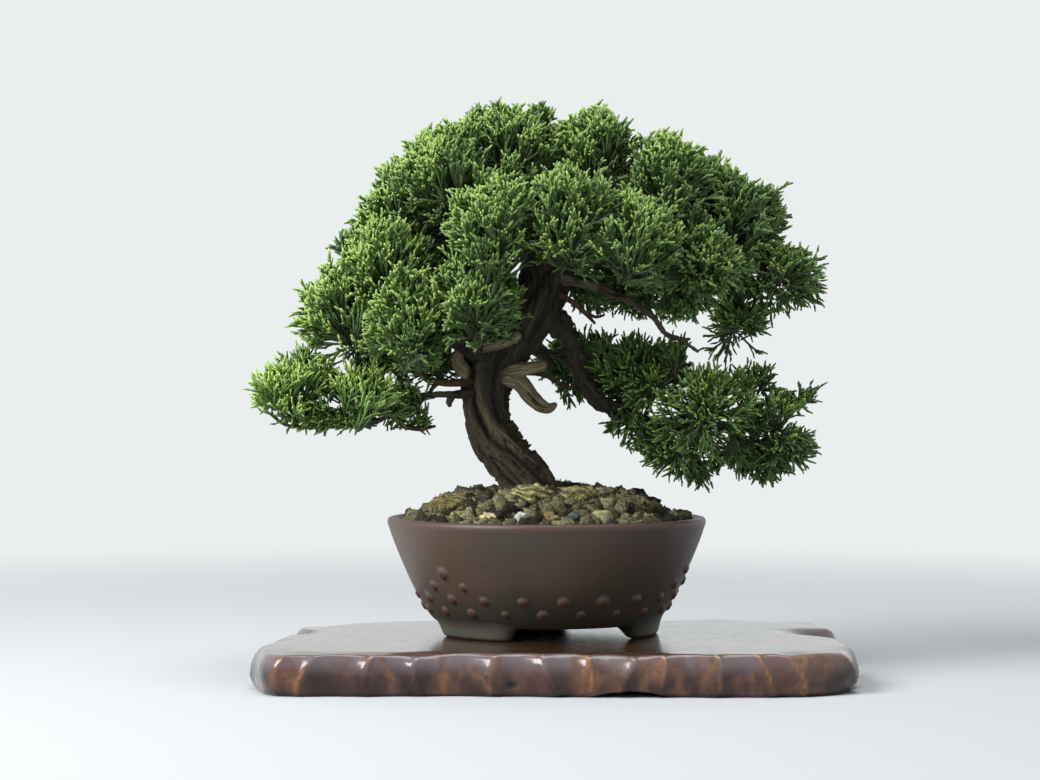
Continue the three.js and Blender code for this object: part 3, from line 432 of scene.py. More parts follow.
AIRY = ("right_tip", "right_hanging", "right_under", "low_right_upper", "low_right_tip", "low_right_middle",
        "low_right_low", "low_right_prong", "low_right_sprig", "low_left_tip", "low_left_middle",
        "low_left_inner")
BACK = ("back_low", "back_left", "back_right", "back_top")
# Painted light: how far the colours of some clouds are shifted toward those of young tips, so that they look
# lighter.
PAINTED_LIGHT_SHIFT = {"low_left_tip": 0.2, "low_left_middle": 0.2, "low_left_inner": 0.14, "left_tip": 0.04}
CORD_FIELDS = ("length", "radius", "kind", "tone", "start", "end")  # of a cord, after place, way and lean
GOLDEN_ANGLE = math.pi * (3 - math.sqrt(5))
SEED = 7


# ---- sums on points

def unit(v):
    """Vectors at length 1."""
    return v / np.linalg.norm(v, axis=-1, keepdims=True).clip(1e-9)


def cell_noise(points, seed):
    """Smooth noise from 0 to 1, with one cell per unit of length."""
    cell = np.floor(points).astype(np.int64)
    part = points - cell
    part = part * part * (3 - 2 * part)
    total = np.zeros(points.shape[:-1])
    for corner in product((0, 1), repeat=3):
        at = (cell + corner).astype(np.uint64)
        key = at[..., 0] * np.uint64(73856093)
        key ^= at[..., 1] * np.uint64(19349663)
        key ^= at[..., 2] * np.uint64(83492791)
        key ^= np.uint64(seed * 2654435761 + 97)
        key ^= key >> np.uint64(15)
        key *= np.uint64(2246822519)
        key ^= key >> np.uint64(13)
        value = (key & np.uint64(0xFFFF)).astype(float) / 0xFFFF
        total += value * np.where(corner, part, 1 - part).prod(-1)
    return total


def rough_noise(points, seed, octaves):
    """Noise from 0 to 1 with finer and finer detail."""
    total, weight, scale = 0, 0, 1.0
    for k in range(octaves):
        total = total + cell_noise(points * scale, seed + k) / scale
        weight += 1 / scale
        scale *= 2.07
    return total / weight


def smooth_step(x, low, high):
    t = np.clip((x - low) / (high - low), 0, 1)
    return t * t * (3 - 2 * t)


def bump(x, centre, width):
    return np.exp(-((x - centre) / width) ** 2)


def smooth_line(points, spacing, closed=False):
    """Stations about spacing apart on a centripetal curve through points; columns past z ride along."""
    p = np.array(points, float)
    if closed:
        p = np.vstack([p[-1:], p, p[:2]])
    else:
        p = np.vstack([2 * p[:1] - p[1:2], p, 2 * p[-1:] - p[-2:-1]])
    stations = []
    for i in range(1, len(p) - 2):
        p0, p1, p2, p3 = p[i - 1:i + 3]
        d0, d1, d2 = (np.linalg.norm(b[:3] - a[:3]) ** 0.5 for a, b in ((p0, p1), (p1, p2), (p2, p3)))
        m1 = ((p1 - p0) / d0 - (p2 - p0) / (d0 + d1) + (p2 - p1) / d1) * d1
        m2 = ((p2 - p1) / d1 - (p3 - p1) / (d1 + d2) + (p3 - p2) / d2) * d1
        steps = max(1, round(np.linalg.norm((p2 - p1)[:3]) / spacing))
        t = (np.arange(steps) / steps)[:, None]
        square = 3 * (p2 - p1) - 2 * m1 - m2
        cube = 2 * (p1 - p2) + m1 + m2
        stations.append(p1 + m1 * t + square * t ** 2 + cube * t ** 3)
    if not closed:
        stations.append(p[-2:-1])
    return np.vstack(stations)


def frames_along(path):
    """Tangents, sides and across vectors along a path, without spin about it."""
    tangent = unit(np.gradient(path, axis=0))
    side = np.empty_like(path)
    last = np.array([1.0, 0.0, 0.0]) if abs(tangent[0][0]) < 0.9 else np.array([0.0, 1.0, 0.0])
    for i, forward in enumerate(tangent):
        last = unit(last - forward * (last @ forward))
        side[i] = last
    return tangent, side, np.cross(tangent, side)


# ---- meshes

def mesh_of(name, vertices, faces):
    """A mesh object in metres from vertices in millimetres."""
    mesh = bpy.data.meshes.new(name)
    mesh.from_pydata((np.asarray(vertices) * MM).tolist(), [], [list(map(int, f)) for f in faces])
    mesh.validate()
    return link(name, mesh)


def link(name, data):
    """An object in the scene that shows a mesh, light or camera."""
    made = bpy.data.objects.new(name, data)
    bpy.context.scene.collection.objects.link(made)
    return made


def points_of(mesh):
    """Vertices in millimetres."""
    flat = np.empty(3 * len(mesh.vertices), np.float32)
    mesh.vertices.foreach_get("co", flat)
    return flat.reshape(-1, 3).astype(float) / MM


def normals_of(mesh):
    flat = np.empty(3 * len(mesh.vertices), np.float32)
    mesh.vertex_normals.foreach_get("vector", flat)
    return flat.reshape(-1, 3).astype(float)


def put_points(mesh, points):
    mesh.vertices.foreach_set("co", (points * MM).astype(np.float32).ravel())
    mesh.update()


def put_attribute(mesh, name, values):
    """A value or vector on each vertex."""
    values = np.asarray(values, np.float32)
    kind, field = ("FLOAT_VECTOR", "vector") if values.ndim == 2 else ("FLOAT", "value")
    mesh.attributes.new(name, kind, "POINT").data.foreach_set(field, values.ravel())


def smooth(mesh):
    mesh.polygons.foreach_set("use_smooth", np.ones(len(mesh.polygons), bool))
    mesh.update()


def settle(piece):
    """Apply a piece's modifiers, so that it is a plain mesh."""
    bpy.context.view_layer.update()
    graph = bpy.context.evaluated_depsgraph_get()
    done = bpy.data.meshes.new_from_object(piece.evaluated_get(graph), depsgraph=graph)
    piece.modifiers.clear()
    piece.data = done
    return piece


def remeshed(piece, voxel):
    """One closed skin over all the closed shells of a piece."""
    step = piece.modifiers.new("skin", "REMESH")
    step.mode = "VOXEL"
    step.voxel_size = voxel * MM
    return settle(piece)


def finish_piece(piece, nodes=(), finish=None):
    """Hang a finished piece on the object."""
    if finish:
        piece.data.materials.clear()
        piece.data.materials.append(finish)
    smooth(piece.data)
    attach(piece, "root")
    if nodes:
        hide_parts(*nodes)
    return piece


def dress_node(name, finish):
    """Give a node that stays in view its finish."""
    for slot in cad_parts[name].material_slots:
        slot.material = finish


def joined_shells(shells):
    """Vertices and faces of several shells as one list."""
    vertices, faces, count = [], [], 0
    for points, polygons in shells:
        vertices.append(points)
        faces += [[i + count for i in polygon] for polygon in polygons]
        count += len(points)
    return np.vstack(vertices), faces


def ring_face(level, k, sides):
    """The face between one ring and the next above it, at the k-th side."""
    low, high, after = level * sides, (level + 1) * sides, (k + 1) % sides
    return (low + k, low + after, high + after, high + k)


def tube(line, sides):
    """A closed limb with round ends along stations of x, y, z and radius."""
    tangent, side, across = frames_along(line[:, :3])
    turn = 2 * math.pi * np.arange(sides) / sides
    circle = np.cos(turn)[None, :, None] * side[:, None] + np.sin(turn)[None, :, None] * across[:, None]
    rings = line[:, None, :3] + line[:, None, 3:4] * circle
    ends = [line[0, :3] - tangent[0] * line[0, 3] * 0.6, line[-1, :3] + tangent[-1] * line[-1, 3] * 0.6]
    vertices = np.vstack([rings.reshape(-1, 3), ends])
    faces, last, count = [], len(line) - 1, len(line) * sides
    for k in range(sides):
        after = (k + 1) % sides
        faces += [ring_face(i, k, sides) for i in range(last)]
        faces += [(count, after, k), (count + 1, last * sides + k, last * sides + after)]
    return vertices, faces


def rings_mesh(rings, close_low, close_high):
    """Faces over rings of equal length, from the lowest ring up, with a fan at the ends that are closed."""
    rings = np.asarray(rings, float)
    levels, sides = rings.shape[:2]
    vertices = rings.reshape(-1, 3)
    faces = [ring_face(i, k, sides) for i in range(levels - 1) for k in range(sides)]
    for wanted, level, flip in ((close_low, 0, False), (close_high, levels - 1, True)):
        if wanted:
            hub = len(vertices)
            vertices = np.vstack([vertices, rings[level].mean(0)])
            for k in range(sides):
                a, b = level * sides + k, level * sides + (k + 1) % sides
                faces.append((hub, a, b) if flip else (hub, b, a))
    return vertices, faces


# ---- nodes

class Nodes:
    """Adds nodes to a tree: inputs fill in order or by name, and a lower-case name is a setting."""

    def __init__(self, tree):
        self.tree = tree

    def __call__(self, kind, *inputs, out=0, **named):
        node = self.tree.nodes.new(kind)
        for key, value in named.items():
            if key[0].islower():
                setattr(node, key, value)
        sockets = [s for s in node.inputs if s.enabled]
        for socket, value in zip(sockets, inputs):
            self.fill(socket, value)
        for key, value in named.items():
            if key[0].isupper():
                self.fill(next(s for s in sockets if s.name == key.replace("_", " ")), value)
        return [s for s in node.outputs if s.enabled][out] if isinstance(out, int) else node.outputs[out]

    def fill(self, socket, value):
        if isinstance(value, bpy.types.NodeSocket):
            self.tree.links.new(value, socket)
        elif value is not None:
            socket.default_value = value

    def sum(self, operation, *values):
        return self("ShaderNodeMath", *values, operation=operation)

    def times(self, a, b):
        return self.sum("MULTIPLY", a, b)

    def plus(self, a, b):
        return self.sum("ADD", a, b)

    def vector(self, operation, *values, out=0):
        return self("ShaderNodeVectorMath", *values, operation=operation, out=out)

    def scaled(self, vector, factor):
        return self("ShaderNodeVectorMath", Vector=vector, Scale=factor, operation="SCALE")

    def parts(self, vector):
        return self("ShaderNodeSeparateXYZ", vector).node.outputs[:]

    def step(self, value, low, high, to_low=0.0, to_high=1.0):
        return self("ShaderNodeMapRange", value, low, high, to_low, to_high, interpolation_type="SMOOTHSTEP")


class Finish(Nodes):
    """A material on one principled shader, whose constants are set on its own sockets."""

    def __init__(self, name, **constants):
        self.material = bpy.data.materials.new(name)
        self.material.use_nodes = True
        super().__init__(self.material.node_tree)
        self.tree.nodes.clear()
        self.shader = self.tree.nodes.new("ShaderNodeBsdfPrincipled")
        self.paint(**constants)
        output = self.tree.nodes.new("ShaderNodeOutputMaterial")
        self.tree.links.new(self.shader.outputs[0], output.inputs["Surface"])

    def paint(self, **values):
        for key, value in values.items():
            self.fill(self.shader.inputs[key.replace("_", " ")], value)
        return self.material

    def place(self, scale=(1, 1, 1)):
        """Object coordinates in millimetres, times a scale."""
        at = self("ShaderNodeTexCoord", out="Object")
        return self.vector("MULTIPLY", at, tuple(1000 * s for s in scale))

    def attribute(self, name, out="Fac"):
        return self("ShaderNodeAttribute", attribute_name=name, out=out)

    def noise(self, vector, scale, detail, roughness=0.55, distortion=0.0):
        return self("ShaderNodeTexNoise", Vector=vector, Scale=scale, Detail=detail, Roughness=roughness,
                    Distortion=distortion)

    def mix(self, share, a, b):
        """Two sockets or screen colours, mixed."""
        a, b = (tint(*c) if isinstance(c, tuple) else c for c in (a, b))
        return self("ShaderNodeMix", share, a, b, data_type="RGBA", blend_type="MIX")

    def ramp(self, share, *stops):
        """Screen colours at shares, such as (0.2, (90, 80, 70))."""
        result = self("ShaderNodeValToRGB", share)
        elements = result.node.color_ramp.elements
        while len(elements) < len(stops):
            elements.new(0.5)
        for element, (place, colour) in zip(elements, stops):
            element.position = place
            element.color = tint(*colour)
        return result

    def surface(self, colour, height, relief, roughness=None):
        """Colour and roughness, and a relief of so many millimetres where height is greatest."""
        bump = self("ShaderNodeBump", Strength=1.0, Distance=relief * MM, Height=height)
        return self.paint(Base_Color=colour, Roughness=roughness, Normal=bump)


def tint(red, green, blue):
    """A screen colour from 0 to 255 as the linear colour that nodes take."""
    linear = [c / 255 / 12.92 if c <= 10 else ((c / 255 + 0.055) / 1.055) ** 2.4 for c in (red, green, blue)]
    return (*linear, 1.0)


class Recipe(Nodes):
    """A Geometry Nodes tree with named inputs."""

    def __init__(self, name, **inputs):
        super().__init__(bpy.data.node_groups.new(name, "GeometryNodeTree"))
        interface = self.tree.interface
        interface.new_socket("Geometry", in_out="INPUT", socket_type="NodeSocketGeometry")
        interface.new_socket("Geometry", in_out="OUTPUT", socket_type="NodeSocketGeometry")
        for key, value in inputs.items():
            kind = ("NodeSocketMaterial" if isinstance(value, bpy.types.Material)
                    else "NodeSocketInt" if isinstance(value, int) else "NodeSocketFloat")
            interface.new_socket(key.replace("_", " "), in_out="INPUT", socket_type=kind)
        self.values = inputs
        self.given = self.tree.nodes.new("NodeGroupInput").outputs

    def read(self, name, data_type="FLOAT"):
        return self("GeometryNodeInputNamedAttribute", name, data_type=data_type)

    def store(self, geometry, name, value, data_type="FLOAT", domain="POINT"):
        return self("GeometryNodeStoreNamedAttribute", geometry, True, name, value, data_type=data_type,
                    domain=domain)

    def random(self, low, high, seed, data_type):
        return self("FunctionNodeRandomValue", low, high, None, seed, data_type=data_type)

    def turned(self, name, axis, turn=None, pivot="AUTO"):
        """A rotation that brings an axis of an instance onto the direction in an attribute."""
        aim = self.read(name, "FLOAT_VECTOR")
        return self("FunctionNodeAlignRotationToVector", turn, 1.0, aim, axis=axis, pivot_axis=pivot)

    def dress(self, geometry, material):
        """The end of every tree: real geometry, smooth, with its material."""
        real = self("GeometryNodeRealizeInstances", geometry)
        real = self("GeometryNodeSetShadeSmooth", real)
        return self("GeometryNodeSetMaterial", real, True, material)

    def finish(self, geometry):
        output = self.tree.nodes.new("NodeGroupOutput")
        self.fill(output.inputs[0], geometry)
        return self

    def make(self, piece):
        """Run the tree on a piece and keep the result as its plain mesh."""
        step = piece.modifiers.new(self.tree.name, "NODES")
        step.node_group = self.tree
        for item in self.tree.interface.items_tree:
            key = item.name.replace(" ", "_")
            if item.in_out == "INPUT" and key in self.values:
                step[item.identifier] = self.values[key]
        return settle(piece)


# ---- finishes

def foliage_finish():
    """Scale foliage: u of the map is painted light, how lit a shoot is painted, and how young it is; v runs
    from its base to its tips.
    """
    f = Finish("juniper_foliage", Specular_IOR_Level=0.35)
    uv = f("ShaderNodeUVMap", uv_map="OFBake")
    tone, along, _ = f.parts(uv)
    mottle = f.noise(f.vector("MULTIPLY", uv, (90, 24, 1)), 1.0, 3)
    along = f.plus(along, f.step(mottle, 0.3, 0.7, -0.08, 0.08))
    # painted light: a dim copy of the colours for shoots painted in shade and a lit copy for those painted
    # in light, mixed by u
    dim = f.ramp(along, (0, (84, 84, 62)), (0.3, (78, 98, 62)), (0.7, (80, 110, 58)),
                 (1, (106, 142, 72)))
    lit = f.ramp(along, (0, (68, 68, 48)), (0.3, (72, 98, 52)), (0.6, (92, 128, 56)),
                 (0.8, (130, 168, 72)), (1, (188, 214, 118)))
    colour = f.mix(f.step(tone, 0.1, 0.95), dim, lit)
    scales = f("ShaderNodeTexWave", Vector=uv, Scale=9.0, Distortion=2.0, Detail=1.0, bands_direction="Y",
               out="Fac")
    colour = f.mix(f.step(scales, 0.0, 0.5, 0.35, 0.0), colour, (20, 44, 22))
    return f.surface(colour, scales, 0.12, f.step(mottle, 0.2, 0.8, 0.42, 0.62))


def bark_finish(name, bark, pale, groove, dead):
    """Stringy bark along the grain attribute, with worn strips, dark grooves, painted shade in its cracks
    and deep grooves, paler low down as painted light, and grey dead wood.
    """
    f = Finish(name, Specular_IOR_Level=0.3)
    grain = f.attribute("grain", "Vector")
    fibre = f.noise(f.vector("MULTIPLY", grain, (2.2, 2.2, 0.16)), 1.0, 5, 0.62, 0.3)
    strips = f.noise(f.vector("MULTIPLY", grain, (0.62, 0.62, 0.035)), 1.0, 3, 0.5, 0.6)
    patches = f.noise(f.place(), 0.09, 3)
    colour = f.ramp(fibre, (0.3, groove), (0.47, bark), (0.62, bark), (0.76, pale))
    colour = f.mix(f.step(strips, 0.5, 0.68, 0, 0.55), colour, pale)
    colour = f.mix(f.step(patches, 0.5, 0.7, 0, 0.35), colour, groove)
    height = f.parts(f.place())[2]
    # painted light: bark paler low down, below about 122 mm, so that the bark higher up looks shaded by the
    # crown
    colour = f.mix(f.step(height, 122, 92, 0, 0.3), colour, pale)
    weathered = f.ramp(fibre, (0.25, (74, 66, 50)), (0.5, dead), (0.75, (186, 174, 142)))
    colour = f.mix(f.attribute("dead"), colour, weathered)
    # painted shade: the cracks, the deep grooves and the split of the dead branch are darkened
    colour = f.mix(f.step(f.attribute("hollow"), 0.25, 1.0, 0, 0.85), colour, (18, 14, 11))
    ribs = f.plus(fibre, f.times(strips, 0.8))
    return f.surface(colour, ribs, 0.55, f.step(fibre, 0.3, 0.7, 0.9, 0.68))


def twig_finish():
    f = Finish("twig_bark", Roughness=0.8, Specular_IOR_Level=0.3)
    flecks = f.noise(f.place((1, 1, 0.5)), 0.9, 4)
    colour = f.ramp(flecks, (0.3, (38, 29, 21)), (0.55, (68, 53, 37)), (0.75, (108, 90, 66)))
    return f.surface(colour, flecks, 0.2)


def clay_finish():
    """Unglazed brown clay: warmer on the rim and the studs' heads, darker and greener low down, and lighter
    on the left and darker on the right, partly kiln flash and partly painted light.
    """
    f = Finish("brown_stoneware", Specular_IOR_Level=0.42, Coat_Weight=0.1, Coat_Roughness=0.34)
    at = f.place()
    clouds = f.noise(at, 0.035, 3, 0.5)
    rings = f.noise(f.place((0.05, 0.05, 1.6)), 1.0, 3)
    specks = f.noise(at, 1.7, 3, 0.6)
    across, _, height = f.parts(at)
    colour = f.mix(f.step(clouds, 0.38, 0.64), (64, 54, 44), (75, 57, 46))
    # partly kiln flash and partly painted light: lighter on the left, where the key light falls, and darker
    # on the right
    flash_and_side_light = f.plus(across, f.times(clouds, 30.0))
    colour = f.mix(f.step(flash_and_side_light, -14, -54, 0, 0.7), colour, (96, 82, 69))
    colour = f.mix(f.step(flash_and_side_light, 34, 74, 0, 0.7), colour, (42, 31, 26))
    low = f.step(f.plus(height, f.times(clouds, 14.0)), 32, 50, 1, 0)
    colour = f.mix(low, colour, (50, 48, 41))
    colour = f.mix(f.step(rings, 0.5, 0.75, 0, 0.25), colour, (50, 41, 36))
    colour = f.mix(f.step(height, 25, 19, 0, 0.6), colour, (86, 83, 74))
    colour = f.mix(f.attribute("tip"), colour, (74, 44, 36))
    colour = f.mix(f.attribute("halo"), colour, (88, 84, 74))
    colour = f.mix(f.attribute("edge"), colour, (70, 48, 41))
    colour = f.mix(f.step(specks, 0.62, 0.78, 0, 0.45), colour, (38, 33, 29))
    colour = f.mix(f.step(specks, 0.36, 0.2, 0, 0.35), colour, (112, 98, 86))
    grit = f.plus(specks, f.times(rings, 0.5))
    return f.surface(colour, grit, 0.1, f.step(clouds, 0.3, 0.7, 0.4, 0.54))


def lacquer_finish():
    """Dark lacquer over burr wood: black-brown hollows, orange-brown patches and amber ridges, a grey sheen
    high on the side that is a painted reflection, and painted shade in the knot hole and along the bottom
    edge.
    """
    f = Finish("lacquered_burr", Specular_IOR_Level=0.2, Coat_Weight=0.9, Coat_IOR=1.36,
               Coat_Roughness=0.13)
    at = f.place()
    height = f.parts(at)[2]
    upper = f.attribute("upper")
    burr = f.noise(f.place((1, 1, 0.5)), 0.055, 4, 0.5, 0.8)
    swirl = f.noise(f.place((1, 1, 0.7)), 0.14, 5, 0.62, 1.4)
    streaks = f.noise(f.place((0.05, 0.9, 0.9)), 1.0, 4, 0.6, 0.4)
    pools = f.noise(f.place((0.5, 1, 1)), 0.03, 3, 0.5, 0.6)
    side = f.ramp(burr, (0.38, (40, 22, 20)), (0.48, (66, 42, 36)), (0.55, (90, 61, 48)),
                  (0.64, (122, 84, 54)), (0.78, (172, 122, 74)))
    side = f.mix(f.step(swirl, 0.4, 0.56, 0.5, 0.0), side, (50, 29, 26))
    side = f.mix(f.times(f.attribute("ridge"), f.step(burr, 0.44, 0.6, 0.12, 0.7)), side,
                 (164, 112, 66))
    # painted reflection: a grey-violet sheen over the upper part of the side, strongest where the burr is
    # dark
    painted_sheen = f.times(f.step(height, 7.0, 14.0, 0, 0.62), f.step(burr, 0.6, 0.46, 0.2, 1.0))
    side = f.mix(painted_sheen, side, (114, 104, 108))
    top = f.ramp(streaks, (0.3, (48, 34, 25)), (0.5, (70, 52, 38)), (0.72, (94, 74, 53)))
    top = f.mix(f.step(pools, 0.4, 0.62, 0, 0.6), top, (56, 36, 26))
    colour = f.mix(upper, side, top)
    # painted shade: darker along the bottom 2 mm of the side, where it turns under
    colour = f.mix(f.step(height, 2.0, 0.2, 0, 0.6), colour, (20, 12, 10))
    # painted shade: the knot hole is painted nearly black
    colour = f.mix(f.attribute("hole"), colour, (12, 8, 7))
    wear = f.mix(upper, f.times(burr, 0.7), f.times(streaks, 0.005))
    return f.surface(colour, wear, 0.5, f.step(swirl, 0.3, 0.7, 0.2, 0.34))


def earth_finish():
    f = Finish("potting_earth", Roughness=0.95, Specular_IOR_Level=0.2)
    crumbs = f.noise(f.place(), 0.7, 5, 0.65)
    colour = f.ramp(crumbs, (0.3, (16, 14, 11)), (0.5, (36, 32, 23)), (0.7, (62, 56, 40)))
    return f.surface(colour, crumbs, 0.8)


def grain_finish():
    """Fired-clay grains: olive, tan, grey and nearly black ones, by the tone attribute."""
    f = Finish("soil_grains", Roughness=0.92, Specular_IOR_Level=0.25)
    pores = f.noise(f.place(), 1.1, 5, 0.7)
    colour = f.ramp(f.attribute("tone"), (0.0, (20, 22, 21)), (0.14, (42, 40, 30)),
                    (0.26, (84, 81, 56)), (0.42, (132, 128, 92)), (0.58, (84, 84, 56)),
                    (0.74, (150, 144, 110)), (0.88, (70, 66, 49)), (1.0, (190, 184, 150)))
    colour = f.mix(f.step(pores, 0.4, 0.56, 0.75, 0.0), colour, (34, 31, 22))
    colour = f.mix(f.step(pores, 0.58, 0.72, 0, 0.5), colour, (188, 182, 138))
    return f.surface(colour, pores, 0.7)


def moss_finish(name, dark, mid, pale):
    """Dry moss in folded ribs: the rib attribute is 1 on a crest, and the colour runs from painted shade in
    the folds to a painted highlight on the crests.
    """
    f = Finish(name, Roughness=0.95, Specular_IOR_Level=0.2, Sheen_Weight=0.15)
    fuzz = f.noise(f.place(), 2.4, 4, 0.7)
    patch = f.noise(f.place(), 0.22, 3)
    rib = f.plus(f.attribute("rib"), f.step(fuzz, 0.3, 0.7, -0.25, 0.25))
    # painted shade in the folds, painted highlight on the crests
    colour = f.ramp(rib, (0.15, dark), (0.5, mid), (0.9, pale))
    colour = f.mix(f.step(patch, 0.52, 0.66, 0, 0.6), colour, (104, 116, 52))
    return f.surface(colour, fuzz, 0.7)


def strand_finish():
    """Dry moss strands: u of the map goes from brown to yellow-green ones, v from root to tip."""
    f = Finish("dry_moss_strands", Roughness=0.85, Specular_IOR_Level=0.25)
    uv = f("ShaderNodeUVMap", uv_map="OFBake")
    tone, along, _ = f.parts(uv)
    flecks = f.noise(f.vector("MULTIPLY", uv, (60, 12, 1)), 1.0, 3)
    brown = f.ramp(along, (0, (58, 48, 30)), (0.5, (122, 106, 70)), (1, (184, 168, 122)))
    green = f.ramp(along, (0, (58, 60, 30)), (0.5, (124, 126, 72)), (1, (196, 192, 136)))
    colour = f.mix(f.step(tone, 0.3, 0.7), brown, green)
    colour = f.mix(f.step(flecks, 0.5, 0.7, 0, 0.4), colour, (70, 72, 40))
    return f.surface(colour, flecks, 0.05)


def stone_finish(name, colour):
    f = Finish(name, Specular_IOR_Level=0.35)
    dark = tuple(0.55 * c for c in colour)
    pale = tuple(min(255, 1.15 * c) for c in colour)
    pits = f.noise(f.place(), 1.6, 5, 0.65)
    veins = f.noise(f.place((1, 1, 2)), 0.35, 4, 0.6, 1.0)
    shown = f.ramp(pits, (0.3, dark), (0.5, colour), (0.75, pale))
    shown = f.mix(f.step(veins, 0.54, 0.68, 0, 0.55), shown, (128, 126, 70))
    return f.surface(shown, pits, 0.5, f.step(pits, 0.3, 0.7, 0.85, 0.6))


def screen_finish():
    f = Finish("screen_mesh", Specular_IOR_Level=0.4)
    scuffs = f.noise(f.place(), 1.2, 4)
    colour = f.ramp(scuffs, (0.3, (38, 46, 40)), (0.6, (58, 68, 60)), (0.8, (104, 98, 80)))
    return f.surface(colour, scuffs, 0.06, f.step(scuffs, 0.3, 0.7, 0.5, 0.75))


def wire_finish(name, colour):
    f = Finish(name, Metallic=1.0)
    drawn = f.noise(f.place(), 1.8, 4)
    dull = f.step(drawn, 0.45, 0.7)
    shown = f.mix(dull, colour, (112, 104, 92))
    return f.surface(shown, drawn, 0.05, f.step(drawn, 0.3, 0.7, 0.32, 0.6))


def floor_finish():
    """Pale cloth that fades into the backdrop far out."""
    f = Finish("pale_floor", Roughness=0.9, Specular_IOR_Level=0.1)
    at = f("ShaderNodeTexCoord", out="Object")
    weave = f.noise(at, 900.0, 2)
    colour = f.mix(f.step(weave, 0.35, 0.65, 0, 0.5), (181, 184, 187), (175, 178, 181))
    f.paint(Base_Color=colour)
    far = f.step(f.vector("LENGTH", at, out="Value"), FLOOR_FADE[0] * MM, FLOOR_FADE[1] * MM)
    glow = f("ShaderNodeEmission", tint(*BACKDROP), 1.0)
    blend = f("ShaderNodeMixShader", far, f.shader.outputs[0], glow)
    output = next(n for n in f.tree.nodes if n.type == "OUTPUT_MATERIAL")
    f.fill(output.inputs["Surface"], blend)
    return f.material


# ---- studio

def studio():
    """The camera at the photograph's angle, a plain pale room, three soft lights and the floor."""
    scene = bpy.context.scene
    camera = bpy.data.cameras.new("camera")
    camera.lens = CAMERA_LENS
    camera.sensor_width = CAMERA_SENSOR
    camera.clip_end = CAMERA_REACH * MM
    scene.camera = link("camera", camera)
    scene.camera.location = Vector(CAMERA_AT) * MM
    scene.camera.rotation_euler = (math.pi / 2 + CAMERA_TILT, 0, 0)

    world = scene.world = bpy.data.worlds.new("studio")
    world.use_nodes = True
    n = Nodes(world.node_tree)
    world.node_tree.nodes.clear()
    path = n("ShaderNodeLightPath", out="Is Camera Ray")
    seen = n.sum("MAXIMUM", path, path.node.outputs["Is Glossy Ray"])
    strength = n("ShaderNodeMapRange", seen, 0, 1, AMBIENT, 1.0)
    sky = n("ShaderNodeBackground", tint(*BACKDROP), strength)
    output = world.node_tree.nodes.new("ShaderNodeOutputWorld")
    world.node_tree.links.new(sky, output.inputs[0])

    for name, place, size, power in LIGHTS:
        light = bpy.data.lights.new(name, "AREA")
        light.size = size * MM
        light.energy = power
        lamp = link(name, light)
        lamp.location = Vector(place) * MM
        aim = Vector(LIGHTS_AIM) * MM - lamp.location
        lamp.rotation_euler = aim.to_track_quat("-Z", "Y").to_euler()

    half = FLOOR_SIZE / 2
    corners = [(-half, -half, 0), (half, -half, 0), (half, half, 0), (-half, half, 0)]
    floor = mesh_of("floor", corners, [(0, 1, 2, 3)])
    floor.data.materials.append(floor_finish())

    scene.view_settings.view_transform = "Standard"
    scene.view_settings.look = "None"


# ---- stand

def ridge_places(edge, share):
    """Shares of the way round at which the ridges stand, at the bottom and at the top of the side."""
    front = (edge[:, 1] < -74) & (share < 0.5)
    top, bottom = (np.interp(xs, edge[front, 0], share[front]) for xs in zip(*STAND_FRONT_RIDGES))
    k = np.arange(1, STAND_OTHER_RIDGES + 1)
    gap = (1 + bottom[0] - bottom[-1]) / (STAND_OTHER_RIDGES + 1)
    others = bottom[-1] + gap * (k + 0.3 * np.sin(2.4 * k))
    return np.append(bottom, others), np.append(top, others + 0.3 * gap * np.sin(3.7 * k + 1))


def stand_edge():
    """Evenly spaced points round the widest line, their shares of the way round, and its length."""
    outline = smooth_line([(x, y, 0) for x, y in STAND_OUTLINE], 1.0, closed=True)
    loop = np.vstack([outline, outline[:1]])
    length = np.append(0, np.cumsum(np.linalg.norm(np.diff(loop, axis=0), axis=1)))
    share = np.arange(STAND_RING_POINTS) / STAND_RING_POINTS
    edge = np.stack([np.interp(share * length[-1], length, loop[:, k]) for k in range(3)], 1)
    return edge, share, length[-1]


